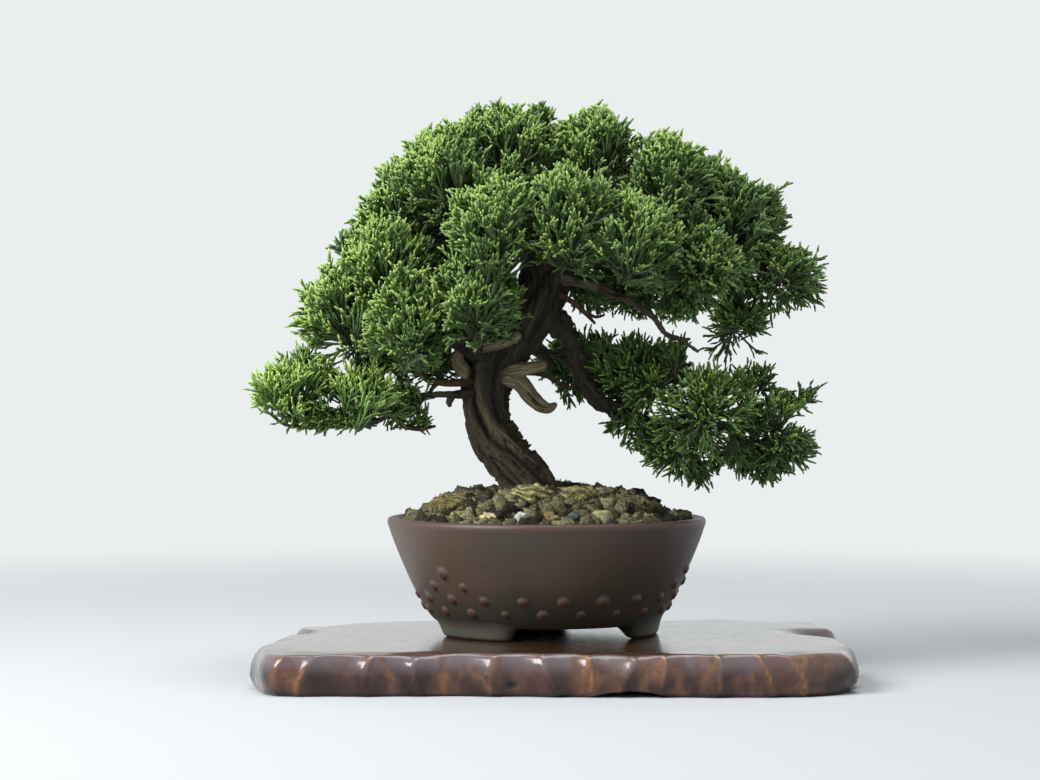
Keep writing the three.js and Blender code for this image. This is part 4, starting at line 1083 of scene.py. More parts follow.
def stand_piece():
    """The slab: scallops carved round its edge, a hollow under the front edge and a knot hole."""
    edge, share, total = stand_edge()
    middle = np.array([*STAND_CENTRE, 0.0])
    inward = unit(middle - edge)
    bottom, top = ridge_places(edge, share)
    rings, ridge, upper = [], [], []
    for inset, height, depth in smooth_line(STAND_SIDE, 0.8):
        ridges = bottom + (top - bottom) * smooth_step(height / STAND_THICKNESS, 0, 1)
        ridges = np.append(ridges - 1, [*ridges, *(ridges + 1)])
        ridges.sort()
        before = np.searchsorted(ridges, share, side="right") - 1
        width = ridges[before + 1] - ridges[before]
        place = (share - ridges[before]) / width
        wide = np.clip(width * total / STAND_FULL_SCALLOP, 0.7, 1.25)
        cut = STAND_SCALLOP_DEPTH * depth * wide * np.sin(np.pi * place) ** 0.8
        at = edge + inward * (inset + cut)[:, None]
        at[:, 2] = height
        hewn = rough_noise(at * 0.09, 31, 3) - 0.5
        at += inward * (STAND_HEWN * hewn * depth)[:, None]
        rings.append(at)
        near = np.minimum(place, 1 - place) * width * total
        ridge.append(bump(near, 0, STAND_RIDGE_WIDTH) * smooth_step(height, 0.5, 4))
        upper.append(np.full(STAND_RING_POINTS, smooth_step(height, 16.15, 16.5)))
    last = rings[-1]
    for reach in STAND_TOP_RINGS:
        at = middle * (1 - reach) + last * reach
        at[:, 2] = STAND_THICKNESS
        rings.append(at)
        ridge.append(np.zeros(STAND_RING_POINTS))
        upper.append(np.ones(STAND_RING_POINTS))
    rings, upper = np.array(rings), np.array(upper)
    reach = np.linalg.norm(rings[..., :2] - middle[:2], axis=-1)
    reach /= np.linalg.norm(edge[:, :2] - middle[:2], axis=-1)
    waves = (rough_noise(rings * (0.04, 0.04, 0), 5, 2) - 0.6).clip(-0.4, 0)
    near_edge = smooth_step(rings[..., 2], 11, 16.4) * smooth_step(reach, 0.86, 0.95)
    rings[..., 2] += STAND_EDGE_DIPS * waves * near_edge
    for x, y, radius, depth in STAND_SCOOPS:
        away = np.hypot(rings[..., 0] - x, rings[..., 1] - y) / radius
        scoop = np.exp(-away ** 4) * smooth_step(rings[..., 2], 8, 15)
        rings[..., 2] -= depth * scoop
        upper *= 1 - scoop
    rings[..., 2] += STAND_LACQUER_BUILD * smooth_step(rings[..., 2], 12, 16.4)
    arch = STAND_ARCH
    across = (rings[..., 0] - arch["x"]) / arch["half_width"]
    under = arch["height"] * np.sqrt((1 - across ** 2).clip(0))
    under *= rings[..., 1] < arch["front"] + arch["depth"]
    rings[..., 2] = np.where(rings[..., 2] < 10, np.maximum(rings[..., 2], under), rings[..., 2])
    knot = STAND_KNOT
    aside, above = rings[..., 0] - knot["x"], rings[..., 2] - knot["height"]
    away = np.hypot(aside, above * knot["squash"]) + 0.4 * np.sin(3 * np.arctan2(above, aside))
    hole = np.exp(-(away / knot["radius"]) ** 3) * (rings[..., 1] < -60)
    rings[..., 1] += knot["depth"] * hole
    vertices, faces = rings_mesh(rings, True, True)
    piece = mesh_of("lacquered_stand", vertices, faces)
    put_attribute(piece.data, "ridge", np.append(np.ravel(ridge), [0, 0]))
    put_attribute(piece.data, "upper", np.append(np.ravel(upper), [0, 1]))
    # the hole attribute marks the knot hole, which the finish paints nearly black as painted shade
    put_attribute(piece.data, "hole", np.append(np.ravel(hole), [0, 0]))
    finish_piece(piece, ["display_stand"], lacquer_finish())


# ---- pot

def wall_radius(height):
    radii, heights = zip(*POT_OUTSIDE)
    return np.interp(height, heights, radii)


def lathe_rings(profile, sides):
    turn = 2 * math.pi * np.arange(sides) / sides
    return [np.stack([r * np.cos(turn), r * np.sin(turn), np.full(sides, h)], 1) for r, h in profile]


def pot_wall():
    """Bowl with a rolled rim, thrown in one profile from the underside over the rim to the inside floor."""
    points = [(r, h, 0) for r, h in (*POT_UNDER, *POT_OUTSIDE[:-2], *POT_RIM, *POT_INSIDE)]
    profile = [(r, h + POT_BASE) for r, h, _ in smooth_line(points, POT_PROFILE_STEP)]
    return rings_mesh(lathe_rings(profile, POT_POINTS_ROUND), True, True)


def foot_shell(azimuth):
    """A foot: a wedge bent round the pot, soft at the bottom, its face running up into the wall's."""
    rings = []
    face = np.linspace(-1, 1, 26, endpoint=False)
    end = np.linspace(0, 1, 9, endpoint=False)
    for height in np.linspace(0, FOOT_ROOT, 18):
        up = min(1, height / POT_FOOT_HEIGHT)
        flare = smooth_step(height, 3, FOOT_ROOT)
        soft = FOOT_SOFTENING * max(0, 1 - height / 1.4) ** 2
        half = np.interp(up, (0, 1), FOOT_HALF_ANGLES) + 5 * flare - soft
        inner = np.interp(up, (0, 1), FOOT_INNER_RADII) + soft
        outer = FOOT_OUTER_RADIUS + FOOT_SLOPE * height + FOOT_CURVE * max(0, height - 4.5) ** 2 - soft
        outer -= 0.7 * smooth_step(height, 9, FOOT_ROOT)
        side = outer - FOOT_CORNER
        ring = [(share * half, outer - FOOT_CORNER * abs(share) ** 8) for share in face]
        ring += [(half - FOOT_TAPER * share, side + (inner - side) * share) for share in end]
        ring += [(-share * (half - FOOT_TAPER), inner) for share in face]
        ring += [(FOOT_TAPER - half - FOOT_TAPER * share, inner + (side - inner) * share) for share in end]
        angle, radius = np.array(ring).T
        angle = np.radians(azimuth + angle - 90)
        rings.append(np.stack([radius * np.cos(angle), radius * np.sin(angle),
                               np.full(len(ring), POT_BASE + height)], 1))
    return rings_mesh(rings, True, True)


def stud_places():
    """Azimuths and heights of the studs: two full rows and a cluster over each foot."""
    step = 360 / STUDS_PER_ROW
    first, second, third, fourth = STUD_ROWS
    places = []
    for k in range(STUDS_PER_ROW):
        azimuth = FOOT_AZIMUTHS[0] + k * step
        places += [(azimuth + step / 2, first), (azimuth, second)]
    for azimuth in FOOT_AZIMUTHS:
        places += [(azimuth - step / 2, third), (azimuth + step / 2, third), (azimuth, fourth)]
    return places


def stud_recipe(clay):
    """Nail-head studs on low mounds, on points that carry the wall's outward direction."""
    g = Recipe("studs", Radius=STUD_RADIUS * MM, Height=STUD_HEIGHT * MM, Clay=clay)
    ball = g("GeometryNodeMeshUVSphere", 16, 16, 1.0)
    x, y, z = g.parts(g("GeometryNodeInputPosition"))
    squared = g.sum("MINIMUM", 1.0, g.plus(g.times(x, x), g.times(y, y)))
    out = g.sum("SQRT", squared)
    front = g.sum("GREATER_THAN", z, -0.001)
    head = g.step(out, STUD_HEAD["foot"], STUD_HEAD["shoulder"])
    mound = g.sum("POWER", g.sum("SUBTRACT", 1.0, squared), STUD_MOUND["power"])
    mound = g.times(mound, STUD_MOUND["height"])
    rise = g.times(front, g.plus(mound, g.times(head, STUD_HEAD["height"])))
    rise = g.plus(rise, g.times(g.sum("MINIMUM", z, 0.0), 0.5))
    radius, height = g.given["Radius"], g.given["Height"]
    wide = g("ShaderNodeCombineXYZ", g.times(x, radius), g.times(y, radius),
             g.times(rise, height))
    tip = g("ShaderNodeMapRange", out, *STUD_TIP, 0.0, 1.0)
    halo = g("ShaderNodeMapRange", out, *STUD_HALO, 0.0, 0.5)
    halo = g.times(halo, g.sum("SUBTRACT", 1.0, tip))
    ball = g.store(ball, "tip", g.times(tip, front))
    ball = g.store(ball, "halo", g.times(halo, front))
    stud = g("GeometryNodeSetPosition", ball, True, wide)
    size = g.random(*STUD_SIZES, SEED, "FLOAT")
    turn = g.turned("aim", "Z")
    studs = g("GeometryNodeInstanceOnPoints", g.given["Geometry"], Instance=stud, Rotation=turn, Scale=size)
    return g.finish(g.dress(studs, g.given["Clay"]))


def pot_piece():
    """Wall and feet in one mesh with two holes drilled through, and the studs."""
    clay = clay_finish()
    body = mesh_of("pot_body", *joined_shells([pot_wall(), *(foot_shell(a) for a in FOOT_AZIMUTHS)]))
    at = points_of(body.data)
    radius = np.hypot(at[:, 0], at[:, 1])
    height = at[:, 2] - POT_BASE
    rim = smooth_step(height, 46.2, 48) * (radius > 60)
    foot_edge = smooth_step(height, 1.2, 0.2)
    uneven = cell_noise(at * 0.12, 3)
    put_attribute(body.data, "edge", (0.85 * rim + 0.9 * foot_edge * (0.4 + uneven)).clip(0, 1))
    put_attribute(body.data, "tip", np.zeros(len(at)))
    put_attribute(body.data, "halo", np.zeros(len(at)))
    body.data.materials.append(clay)
    r, top = DRAIN_HOLE["radius"], POT_BASE + DRAIN_HOLE["depth"]
    for x in (-DRAIN_HOLE["x"], DRAIN_HOLE["x"]):
        rings = [ring + (x, 0, 0) for ring in lathe_rings([(r, POT_BASE), (r, top)], 48)]
        drill = mesh_of("drill", *rings_mesh(rings, True, True))
        cut = body.modifiers.new("drain_hole", "BOOLEAN")
        cut.operation, cut.object, cut.solver = "DIFFERENCE", drill, "EXACT"
        settle(body)
        bpy.data.objects.remove(drill)

    places = stud_places()
    turn = np.radians([a - 90 for a, _ in places])
    heights = np.array([h for _, h in places])
    slope = (wall_radius(heights + 1) - wall_radius(heights - 1)) / 2
    out = unit(np.stack([np.cos(turn), np.sin(turn), -slope], 1))
    wall = wall_radius(heights)
    foot = np.stack([np.cos(turn) * wall, np.sin(turn) * wall, heights + POT_BASE], 1)
    studs = mesh_of("studs", foot - STUD_SINK * out, [])
    put_attribute(studs.data, "aim", out)
    stud_recipe(clay).make(studs)
    put_attribute(studs.data, "edge", np.zeros(len(studs.data.vertices)))
    whole = join_objects("stoneware_pot", [body, studs])
    finish_piece(whole, ["pot"])


def join_objects(name, parts):
    """One object from several, keeping their attributes and materials."""
    bpy.ops.object.select_all(action="DESELECT")
    for part in parts:
        part.select_set(True)
    bpy.context.view_layer.objects.active = parts[0]
    bpy.ops.object.join()
    parts[0].name = name
    return parts[0]


# ---- soil, moss and stones

def stone_y(x):
    """Where on their ring along the front of the soil a stone lies."""
    return -math.sqrt(STONE_RING_RADIUS ** 2 - x ** 2)


def soil_height(x, y):
    """The soil: a mound round the trunk with low lumps."""
    mound = SOIL_MOUND
    radius = np.hypot(x - mound["centre"][0], y - mound["centre"][1])
    lumps = SOIL_LUMPS * np.sin(0.31 * x + 0.4) * np.sin(0.27 * y + 1.1)
    return SOIL_EDGE_HEIGHT + mound["rise"] * (1 - smooth_step(radius, mound["top"], mound["foot"])) + lumps


def grain_recipe(material, spacing, size, corners, seed):
    """Rough, roundish blocks scattered over the soil's surface."""
    g = Recipe("grains", Spacing=spacing * MM, Size=size * MM, Seed=seed, Grain=material)
    scatter = g("GeometryNodeDistributePointsOnFaces", Mesh=g.given["Geometry"], Seed=g.given["Seed"],
                Distance_Min=g.given["Spacing"], Density_Max=4.0 / (spacing * MM) ** 2,
                distribute_method="POISSON")
    join = g.tree.nodes.new("GeometryNodeJoinGeometry")
    for kind in range(GRAIN_SHAPES):
        block = g("GeometryNodeMeshCube", (1.0, 1.0, 1.0), corners, corners, corners)
        at = g("GeometryNodeInputPosition")
        ball = g.scaled(g.vector("NORMALIZE", at), 0.78)
        round_at = g("ShaderNodeMix", 0.72, at, ball, data_type="VECTOR")
        block = g("GeometryNodeSetPosition", block, True, round_at)
        at = g("GeometryNodeInputPosition")
        aside = g.vector("ADD", at, (7.3 * kind, 3.1, 1.7))
        lumps = g("ShaderNodeTexNoise", Vector=aside, Scale=1.9, Detail=1.0)
        lift = g("ShaderNodeMapRange", lumps, 0.3, 0.7, -0.4, 0.45)
        block = g("GeometryNodeSetPosition", block, True, None, g.scaled(at, lift))
        g.tree.links.new(g("GeometryNodeGeometryToInstance", block), join.inputs[0])
    spin = g.random((0, 0, 0), (6.28, 6.28, 6.28), seed + 1, "FLOAT_VECTOR")
    stretch = g.random((0.8, 0.7, 0.55), (1.4, 1.2, 1.0), seed + 2, "FLOAT_VECTOR")
    scale = g.scaled(stretch, g.given["Size"])
    pick = g.random(0, GRAIN_SHAPES - 1, seed + 3, "INT")
    grains = g("GeometryNodeInstanceOnPoints", Points=scatter, Instance=join.outputs[0], Pick_Instance=True,
               Instance_Index=pick, Rotation=g("FunctionNodeEulerToRotation", spin), Scale=scale)
    x, y, _ = g.parts(g("GeometryNodeInputPosition"))
    rightward = g("ShaderNodeMapRange", x, *(v * MM for v in BLACK_SIDE["x"]))
    forward = g("ShaderNodeMapRange", y, *(v * MM for v in BLACK_SIDE["y"]))
    spot = [v * MM for v in BLACK_GRAINS]
    away = g.plus(g.sum("POWER", g.sum("SUBTRACT", x, spot[0]), 2.0),
                 g.sum("POWER", g.sum("SUBTRACT", y, spot[1]), 2.0))
    black = g.sum("MAXIMUM", g.times(rightward, forward),
                  g("ShaderNodeMapRange", g.sum("SQRT", away), spot[2], 0.7 * spot[2]))
    tone = g.random(0.0, 1.0, seed + 4, "FLOAT")
    tone = g.times(tone, g.sum("SUBTRACT", 1.0, g.times(black, BLACKENING)))
    grains = g.store(grains, "tone", tone, domain="INSTANCE")
    return g.finish(g.dress(grains, g.given["Grain"]))


def soil_pieces():
    """Packed earth in the pot, and the grains that lie on it."""
    dress_node("soil_bed", earth_finish())
    grain = grain_finish()
    axis = np.array(TRUNK_LINE[0][:2])
    parts = []
    for name, spacing, size, corners, sink, seed in GRAIN_LAYERS:
        rings = []
        for radius in np.linspace(2, SOIL_EDGE_RADIUS - 0.32 * size, 34):
            ring = lathe_rings([(radius, 0)], 120)[0]
            ring[:, 2] = soil_height(ring[:, 0], ring[:, 1]) - sink
            heap = GRAIN_RIM_LIFT * smooth_step(radius, 50, 58)
            ring[:, 2] += heap - GRAIN_SHOULDER_SINK * bump(radius, 37, 16)
            rings.append(ring)
        vertices, faces = rings_mesh(rings, False, False)
        middle = vertices[np.array(faces)].mean(1)
        clear = np.hypot(*(middle[:, :2] - axis).T) > GRAIN_CLEARANCE
        for x, y, rx, ry, _ in MOSS.values():
            clear &= ((middle[:, 0] - x) / rx) ** 2 + ((middle[:, 1] - y) / ry) ** 2 > 0.6
        for x, rx, ry, _, _ in STONES:
            y = stone_y(x)
            clear &= ((middle[:, 0] - x) / rx) ** 2 + ((middle[:, 1] - y - 1) / (ry + 2)) ** 2 > 0.6
        piece = mesh_of(f"soil_grains_{name}", vertices, np.array(faces)[clear])
        parts.append(grain_recipe(grain, spacing, size, corners, seed).make(piece))
    finish_piece(join_objects("soil_grains", parts))


def ball(centre, half, detail):
    """A finely divided ball stretched to half sizes, its place and directions."""
    bpy.ops.mesh.primitive_ico_sphere_add(subdivisions=detail, radius=MM, location=(0, 0, 0))
    made = bpy.context.object
    directions = unit(points_of(made.data))
    put_points(made.data, directions * half + centre)
    return made, directions


def moss_strands(surface, normal, rng):
    """Dry strands that lie over a clump, combed one way in each part of it."""
    up = normal[:, 2] > 0.05
    surface, normal = surface[up], normal[up]
    comb = np.stack([2 * cell_noise(surface / 6.5, 120 + axis) - 1 for axis in range(3)], 1)
    comb += 0.5 * normal * (1, 1, 0) + rng.normal(0, 0.16, comb.shape) - 0.25 * UP
    comb = unit(comb - normal * (comb * normal).sum(1, keepdims=True))
    count = len(surface)
    way = unit(comb + normal * rng.uniform(0.02, 0.3, (count, 1)))
    tone = (cell_noise(surface / 5, 130) + rng.normal(0, 0.16, count)).clip(0.03, 0.97)
    length, radius = rng.uniform(*MOSS_STRAND_LENGTH, count), rng.uniform(*MOSS_STRAND_RADIUS, count)
    return cords(surface - MOSS_STRAND_SINK * normal, way, -normal, length, radius, 1, tone, 0.05, 0.95)


def moss_pieces():
    """Clumps of moss in folded ribs, each with a piece of loose strands over it."""
    relief, across = MOSS_RELIEF, unit(np.array(MOSS_FOLD_WAY))
    strand_recipe = shoot_recipe(strand_finish())
    rng = np.random.default_rng(SEED + 200)
    for i, (name, (x, y, rx, ry, rz)) in enumerate(MOSS.items()):
        centre = np.array([x, y, float(soil_height(x, y)) - MOSS_SINK[name]])
        made, way = ball(centre, (rx, ry, rz), 5)
        at = points_of(made.data)
        lumps = rough_noise(at * 0.28, 41 + i, 3)
        warp = 2.2 * rough_noise(at * 0.2, 51 + i, 2)
        rib = 1 - np.abs(np.sin(0.95 * (at @ across) + 3.4 * warp + 0.8 * i)) ** 1.5
        fuzz = rough_noise(at * 1.4, 61 + i, 2)
        lift = relief["lumps"] * (lumps - 0.5) + relief["folds"] * (rib - 0.5)
        lift += relief["fuzz"] * (fuzz - 0.5)
        put_points(made.data, at + way * lift[:, None])
        # the rib attribute drives painted shade in the folds and a painted highlight on the crests
        put_attribute(made.data, "rib", (0.7 * rib + 0.5 * (lumps - 0.3)).clip(0, 1))
        made.name = f"dry_moss_{name}"
        finish = moss_finish(f"dry_moss_{name}", *MOSS_COLOURS[name])
        shell = points_of(made.data)
        seen = rng.choice(len(shell), int(MOSS_STRANDS * rx * ry), replace=False)
        strands = moss_strands(shell[seen], normals_of(made.data)[seen], rng)
        finish_piece(cord_piece(f"moss_strands_{name}", strands, strand_recipe))
        finish_piece(made, [f"moss_{name}"], finish)


def stone_pieces():
    """Rounded stones in a row along the front of the soil."""
    relief = STONE_RELIEF
    for i, (x, rx, ry, rz, colour) in enumerate(STONES):
        y = stone_y(x)
        centre = np.array([x, y, float(soil_height(x, y)) + 1.0])
        made, way = ball(centre, (rx, ry, rz), 5)
        at = points_of(made.data)
        broad = rough_noise(way * 1.3 + 9 * i, 71, 2)
        facets = np.abs(cell_noise(way * 2.1 + 5 * i, 73) - 0.5)
        fine = rough_noise(at * 0.8, 75, 3)
        lift = relief["broad"] * (broad - 0.6) - relief["facets"] * facets + relief["fine"] * (fine - 0.5)
        put_points(made.data, at + way * lift[:, None])
        made.name = f"rim_stone_{i + 1}"
        finish_piece(made, [f"stone_{i + 1}"], stone_finish(f"stone_{i + 1}", colour))


# ---- wood

def limb_stations(lines, spacing):
    """Stations of several limbs: place, side, across, length so far, mean radius and limb number."""
    found = []
    for number, line in enumerate(lines):
        stations = smooth_line(line, spacing)
        _, side, across = frames_along(stations[:, :3])
        steps = np.linalg.norm(np.diff(stations[:, :3], axis=0), axis=1)
        along = np.concatenate([[0], np.cumsum(steps)])
        count = len(stations)
        mean = np.full(count, stations[:, 3].mean())
        found.append(np.column_stack([stations, side, across, along, mean, np.full(count, number)]))
    return np.vstack(found)


def nearest_stations(points, stations):
    """For each point, the row of the station whose limb it is on."""
    best = np.empty(len(points), int)
    for start in range(0, len(points), 4000):
        block = points[start:start + 4000]
        away = np.linalg.norm(block[:, None] - stations[None, :, :3], axis=2) / stations[None, :, 3]
        best[start:start + 4000] = away.argmin(1)
    return stations[best]


def bell(angle, centre, width):
    """A bump of height 1 round an azimuth, in degrees."""
    return bump((angle - centre + 180) % 360 - 180, 0, width)


def shape_trunk(at, number, flake, lift, hollow, dead):
    """Veins, deep groove, worn strip and rugged side of the trunk, put into lift, hollow and dead; hollow
    carries painted shade.
    """
    main = number == 0
    height = at[:, 2]
    core = nearest_stations(at, limb_stations([TRUNK_LINE], 1.0))
    off = at - core[:, :3]
    past = np.linalg.norm(off, axis=1) / core[:, 3]
    dead *= smooth_step(past, 0.98, 1.2)
    azimuth = np.degrees(np.arctan2(off[:, 0], -off[:, 1]))
    from_groove = azimuth - np.interp(height, GROOVE_HEIGHTS, GROOVE_AZIMUTHS)
    for centre, width, rise in TRUNK_VEINS:
        wander = VEIN_WANDER * (cell_noise(at * (0, 0, 0.11), int(centre) % 90) - 0.5)
        vein = bell(from_groove, centre + wander, width)
        lift += main * rise * vein
        if rise < -0.7:
            # painted shade in the deep grooves
            hollow += main * 0.75 * vein
    strip, side = WORN_STRIP, RUGGED_SIDE
    worn = main * bell(from_groove, strip["azimuth"], strip["width"])
    worn = worn * smooth_step(height, *strip["foot"]) * smooth_step(height, *strip["head"])
    np.maximum(dead, 0.5 * worn, out=dead)
    lift -= LOW_TRUNK["thinner"] * main * smooth_step(height, *LOW_TRUNK["head"])
    rugged = main * bell(azimuth, side["azimuth"], side["width"]) * smooth_step(height, *side["head"])
    lift += rugged * (1.7 * flake - 1)


def wood_skin(name, lines, cell, trunk=False, rough=1.0):
    """Limbs grown into one skin, with bark strips, cracks and flakes raised along them."""
    shells = [tube(smooth_line(line, 1.2), 28 if trunk and i == 0 else 14) for i, line in enumerate(lines)]
    piece = remeshed(mesh_of(name, *joined_shells(shells)), cell)
    at, normal = points_of(piece.data), normals_of(piece.data)
    row = nearest_stations(at, limb_stations(lines, 1.0))
    local = at - row[:, :3]
    along, mean, number = row[:, 10], row[:, 11], row[:, 12].astype(int)
    a, b = unit(np.column_stack([(local * row[:, 4:7]).sum(1), (local * row[:, 7:10]).sum(1)])).T
    twist = GRAIN_TWIST * along + number
    c, s = np.cos(twist), np.sin(twist)
    turned = np.column_stack([a * c - b * s, a * s + b * c])
    grain = np.column_stack([turned * mean[:, None], along + 37 * number])

    strips = cell_noise(grain * (0.4, 0.4, 0.045), 81)
    crack = smooth_step(np.abs(2 * strips - 1), 0.0, 0.22)
    finer = cell_noise(grain * (1.0, 1.0, 0.11), 83)
    crack_fine = smooth_step(np.abs(2 * finer - 1), 0.0, 0.3)
    fibre = rough_noise(grain * (1.7, 1.7, 0.25), 85, 2)
    flake = smooth_step(rough_noise(grain * (0.5, 0.5, 0.3), 87, 3), 0.5, 0.55)
    dead = (trunk & (number >= 1) & (number <= len(DEAD_WOOD))).astype(float)
    relief = BARK_RELIEF
    size = np.clip(mean / relief["radius"], 0.3, 1) * rough
    cracks = relief["crack"] * (crack - 0.7) + relief["fine"] * (crack_fine - 0.7)
    lift = size * (cracks + relief["fibre"] * (fibre - 0.5) + (1 - dead) * relief["flake"] * flake)
    if rough > 1:
        lift += 2.4 * (cell_noise(at * 0.3, 97) - 0.6) + 2.2 * (cell_noise(at * (0.55, 0.55, 0.4), 98) - 0.5)
    # painted shade in the cracks, carried to the finish in the hollow attribute
    hollow = 0.7 * (1 - crack) + 0.3 * (1 - crack_fine)
    if trunk:
        shape_trunk(at, number, flake, lift, hollow, dead)
        tangent = np.cross(row[:, 4:7], row[:, 7:10])
        beside = (local * unit(np.cross(tangent, FRONT))).sum(1) + 0.6 * (cell_noise(grain * 0.3, 89) - 0.5)
        split = (number == DEAD_SPLIT["line"]) * bump(beside, 0, DEAD_SPLIT["width"])
        split = split * smooth_step((local * FRONT).sum(1), 0, 0.8)
        split *= smooth_step(along, *DEAD_SPLIT["start"]) * smooth_step(along, *DEAD_SPLIT["end"])
        lift -= DEAD_SPLIT["depth"] * split
        # painted shade in the split
        hollow += 1.2 * split
    put_points(piece.data, at + normal * lift[:, None])
    put_attribute(piece.data, "grain", grain)
    put_attribute(piece.data, "dead", dead)
    put_attribute(piece.data, "hollow", hollow.clip(0, 1))
    return piece


def wood_pieces():
    """The trunk with its roots and dead wood in one skin, and each branch in a skin of its own."""
    bark = bark_finish("juniper_bark", (47, 42, 33), (86, 79, 61), (21, 18, 14), (114, 104, 78))
    pale = bark_finish("pale_bark", (88, 82, 64), (138, 132, 108), (44, 38, 29), (124, 114, 86))
    lines = [TRUNK_LINE, *DEAD_WOOD, *ROOTS, *LEADER_FORKS]
    skin = wood_skin("juniper_trunk", lines, SKIN_CELL["trunk"], trunk=True)
    finish_piece(skin, ["trunk"], bark)
    for name, lines in BRANCHES.items():
        cell = SKIN_CELL["back" if "back" in name else "limb"]
        skin = wood_skin(f"limb_{name}", lines, cell, rough=LIMB_ROUGHNESS.get(name, 1.0))
        finish_piece(skin, [f"branch_{name}"], pale if name == "pale_right" else bark)


# ---- foliage

def lumpy_reach(way, half, index):
    """How far a foliage cloud reaches in each direction."""
    phase = PAD_PHASE * index
    x, y, z = (1.5 * way).T
    waves = 0.5 + (np.sin(4.1 * x + 2.3 * y + phase) + np.sin(3.7 * y - 3.1 * z + 2 * phase)
                   + np.sin(4.6 * z + 2.9 * x + 3 * phase)) / 6
    return (1.06 - PAD_LUMPS * waves) / np.linalg.norm(way / half, axis=1)


def outside(points):
    """Distance outside the skin that all the clouds share, and the number of the nearest cloud."""
    away, height = [], []
    for index, values in enumerate(PADS.values()):
        way = points - np.array(values[:3], float)
        size = np.linalg.norm(way, axis=1).clip(1e-6)
        away.append(size - lumpy_reach(way / size[:, None], np.array(values[3:6], float), index))
        height.append(way[:, 2] / size)
    away, height = np.array(away), np.array(height)
    nearest = away.argmin(0)
    inset = SKIN_INSET * smooth_step(height[nearest, np.arange(len(points))], -0.8, 0.5)
    clumps = CLUMP_HEIGHT * (rough_noise(points / CLUMP_SIZE, 19, 2) - 0.5)
    return clumps + inset - CREASE * np.log(np.exp(-away.clip(-60, 60) / CREASE).sum(0)), nearest


def skin_places(index, name, rng):
    """Even places on the common skin that belong to one cloud, the way out, and how much each faces down."""
    centre, half = np.array(PADS[name][:3], float), np.array(PADS[name][3:6], float)
    powers = sum((half[a] * half[b]) ** 1.6 for a, b in ((0, 1), (0, 2), (1, 2))) / 3
    spacing = AIRY_SPACING if name in AIRY + BACK else TUFT_SPACING
    count = int(4 * math.pi * powers ** (1 / 1.6) / spacing ** 2)
    k = np.arange(count)
    z = 1 - 2 * (k + 0.5) / count
    flat = np.sqrt(1 - z * z)
    spin = k * GOLDEN_ANGLE + index
    way = np.stack([flat * np.cos(spin), flat * np.sin(spin), z], 1)
    way = unit(way + rng.normal(0, 0.1, (count, 3)))
    own = lumpy_reach(way, half, index)
    reach = own.copy()
    for _ in range(6):
        skin, owner = outside(centre + way * reach[:, None])
        reach = np.clip(reach - skin, PAD_SHRINK * own, own + PAD_GROWTH)
    surface = centre + way * reach[:, None]
    skin, owner = outside(surface)
    slope = [outside(surface + step)[0] - skin for step in np.eye(3) * 0.8]
    normal = unit(np.stack(slope, 1))
    under = smooth_step(-normal[:, 2], 0.4, 0.85)
    shown = rng.uniform(0, 1, count) > under * (0.5 if name in DROOPING else 0.85)
    keep = (np.abs(skin) < 2) & (owner == index) & shown
    return surface[keep], normal[keep], under[keep, None]


def tufts_of(index, name, wood, rng):
    """Bases, directions, depths and painted light of the tufts of one cloud."""
    surface, normal, under = skin_places(index, name, rng)
    centre, half_height = np.array(PADS[name][:3], float), PADS[name][5]
    droops = name in DROOPING
    carrier = wood[np.linalg.norm(wood[:, :3] - centre, axis=1).argmin(), :3]
    root = (carrier + centre - 0.5 * half_height * UP) / 2
    fan = unit(surface - root)
    drift = np.stack([2 * cell_noise(surface / 21, 91 + axis) - 1 for axis in range(3)], 1)
    lift = 0.05 - 0.3 * under if droops else 0.3 - 0.1 * under
    aim = unit(0.4 * normal + 1.0 * fan + lift * UP + 0.4 * drift + rng.normal(0, 0.1, fan.shape))
    rise = 0.1 if droops else 0.45
    aim = unit(aim * (1, 0.6, 1) + rise * np.abs(aim[:, 1:2]) * UP)
    if not droops:
        aim[:, 2] = np.maximum(aim[:, 2], -0.05)
        aim = unit(aim)
    depth = TUFT_DEPTH * rng.uniform(0.82, 1.2, len(aim)) * (AIRY_DEPTH if name in AIRY else 1)
    depth = np.minimum(depth, 0.85 * np.linalg.norm(surface - root, axis=1))
    # painted light: lighter facing up and toward the left, darker facing right or back
    lit = LIT + LIT_UP * normal[:, 2] - LIT_RIGHT * normal[:, 0] - LIT_BACK * normal[:, 1]
    lit += 0.5 * (cell_noise(surface / 17, 95) - 0.5) + rng.normal(0, 0.08, len(aim))
    lit += 0.24 * smooth_step(surface[:, 0], -50, -90) - 0.2 * smooth_step(surface[:, 0], 0, 90)
    start = surface - aim * (depth * rng.uniform(0.87, 1.18, len(aim)))[:, None]
    clear = clear_of_air(start)
    return start[clear], aim[clear], depth[clear], lit[clear]


def limb_tufts(lines, rng):
    """Tufts on the outer part of limbs, so that they don't run bare between the clouds."""
    bases, aims = [], []
    for line in lines:
        stations = smooth_line(line, LIMB_TUFT_SPACING)
        tangent = frames_along(stations[:, :3])[0]
        stations, tangent = stations[len(stations) // 3:], tangent[len(tangent) // 3:]
        outward = unit((stations[:, :3] - CROWN_CENTRE) * (1, 1, 0.3))
        aim = unit(0.6 * UP + 0.5 * outward + 0.4 * tangent + rng.normal(0, 0.35, tangent.shape))
        bases.append(stations[:, :3] + aim * stations[:, 3:4] * 0.5)
        aims.append(aim)
    bases, aims = np.vstack(bases), np.vstack(aims)
    inside = outside(bases + aims * 10)[0] < 9
    return bases[inside], aims[inside]


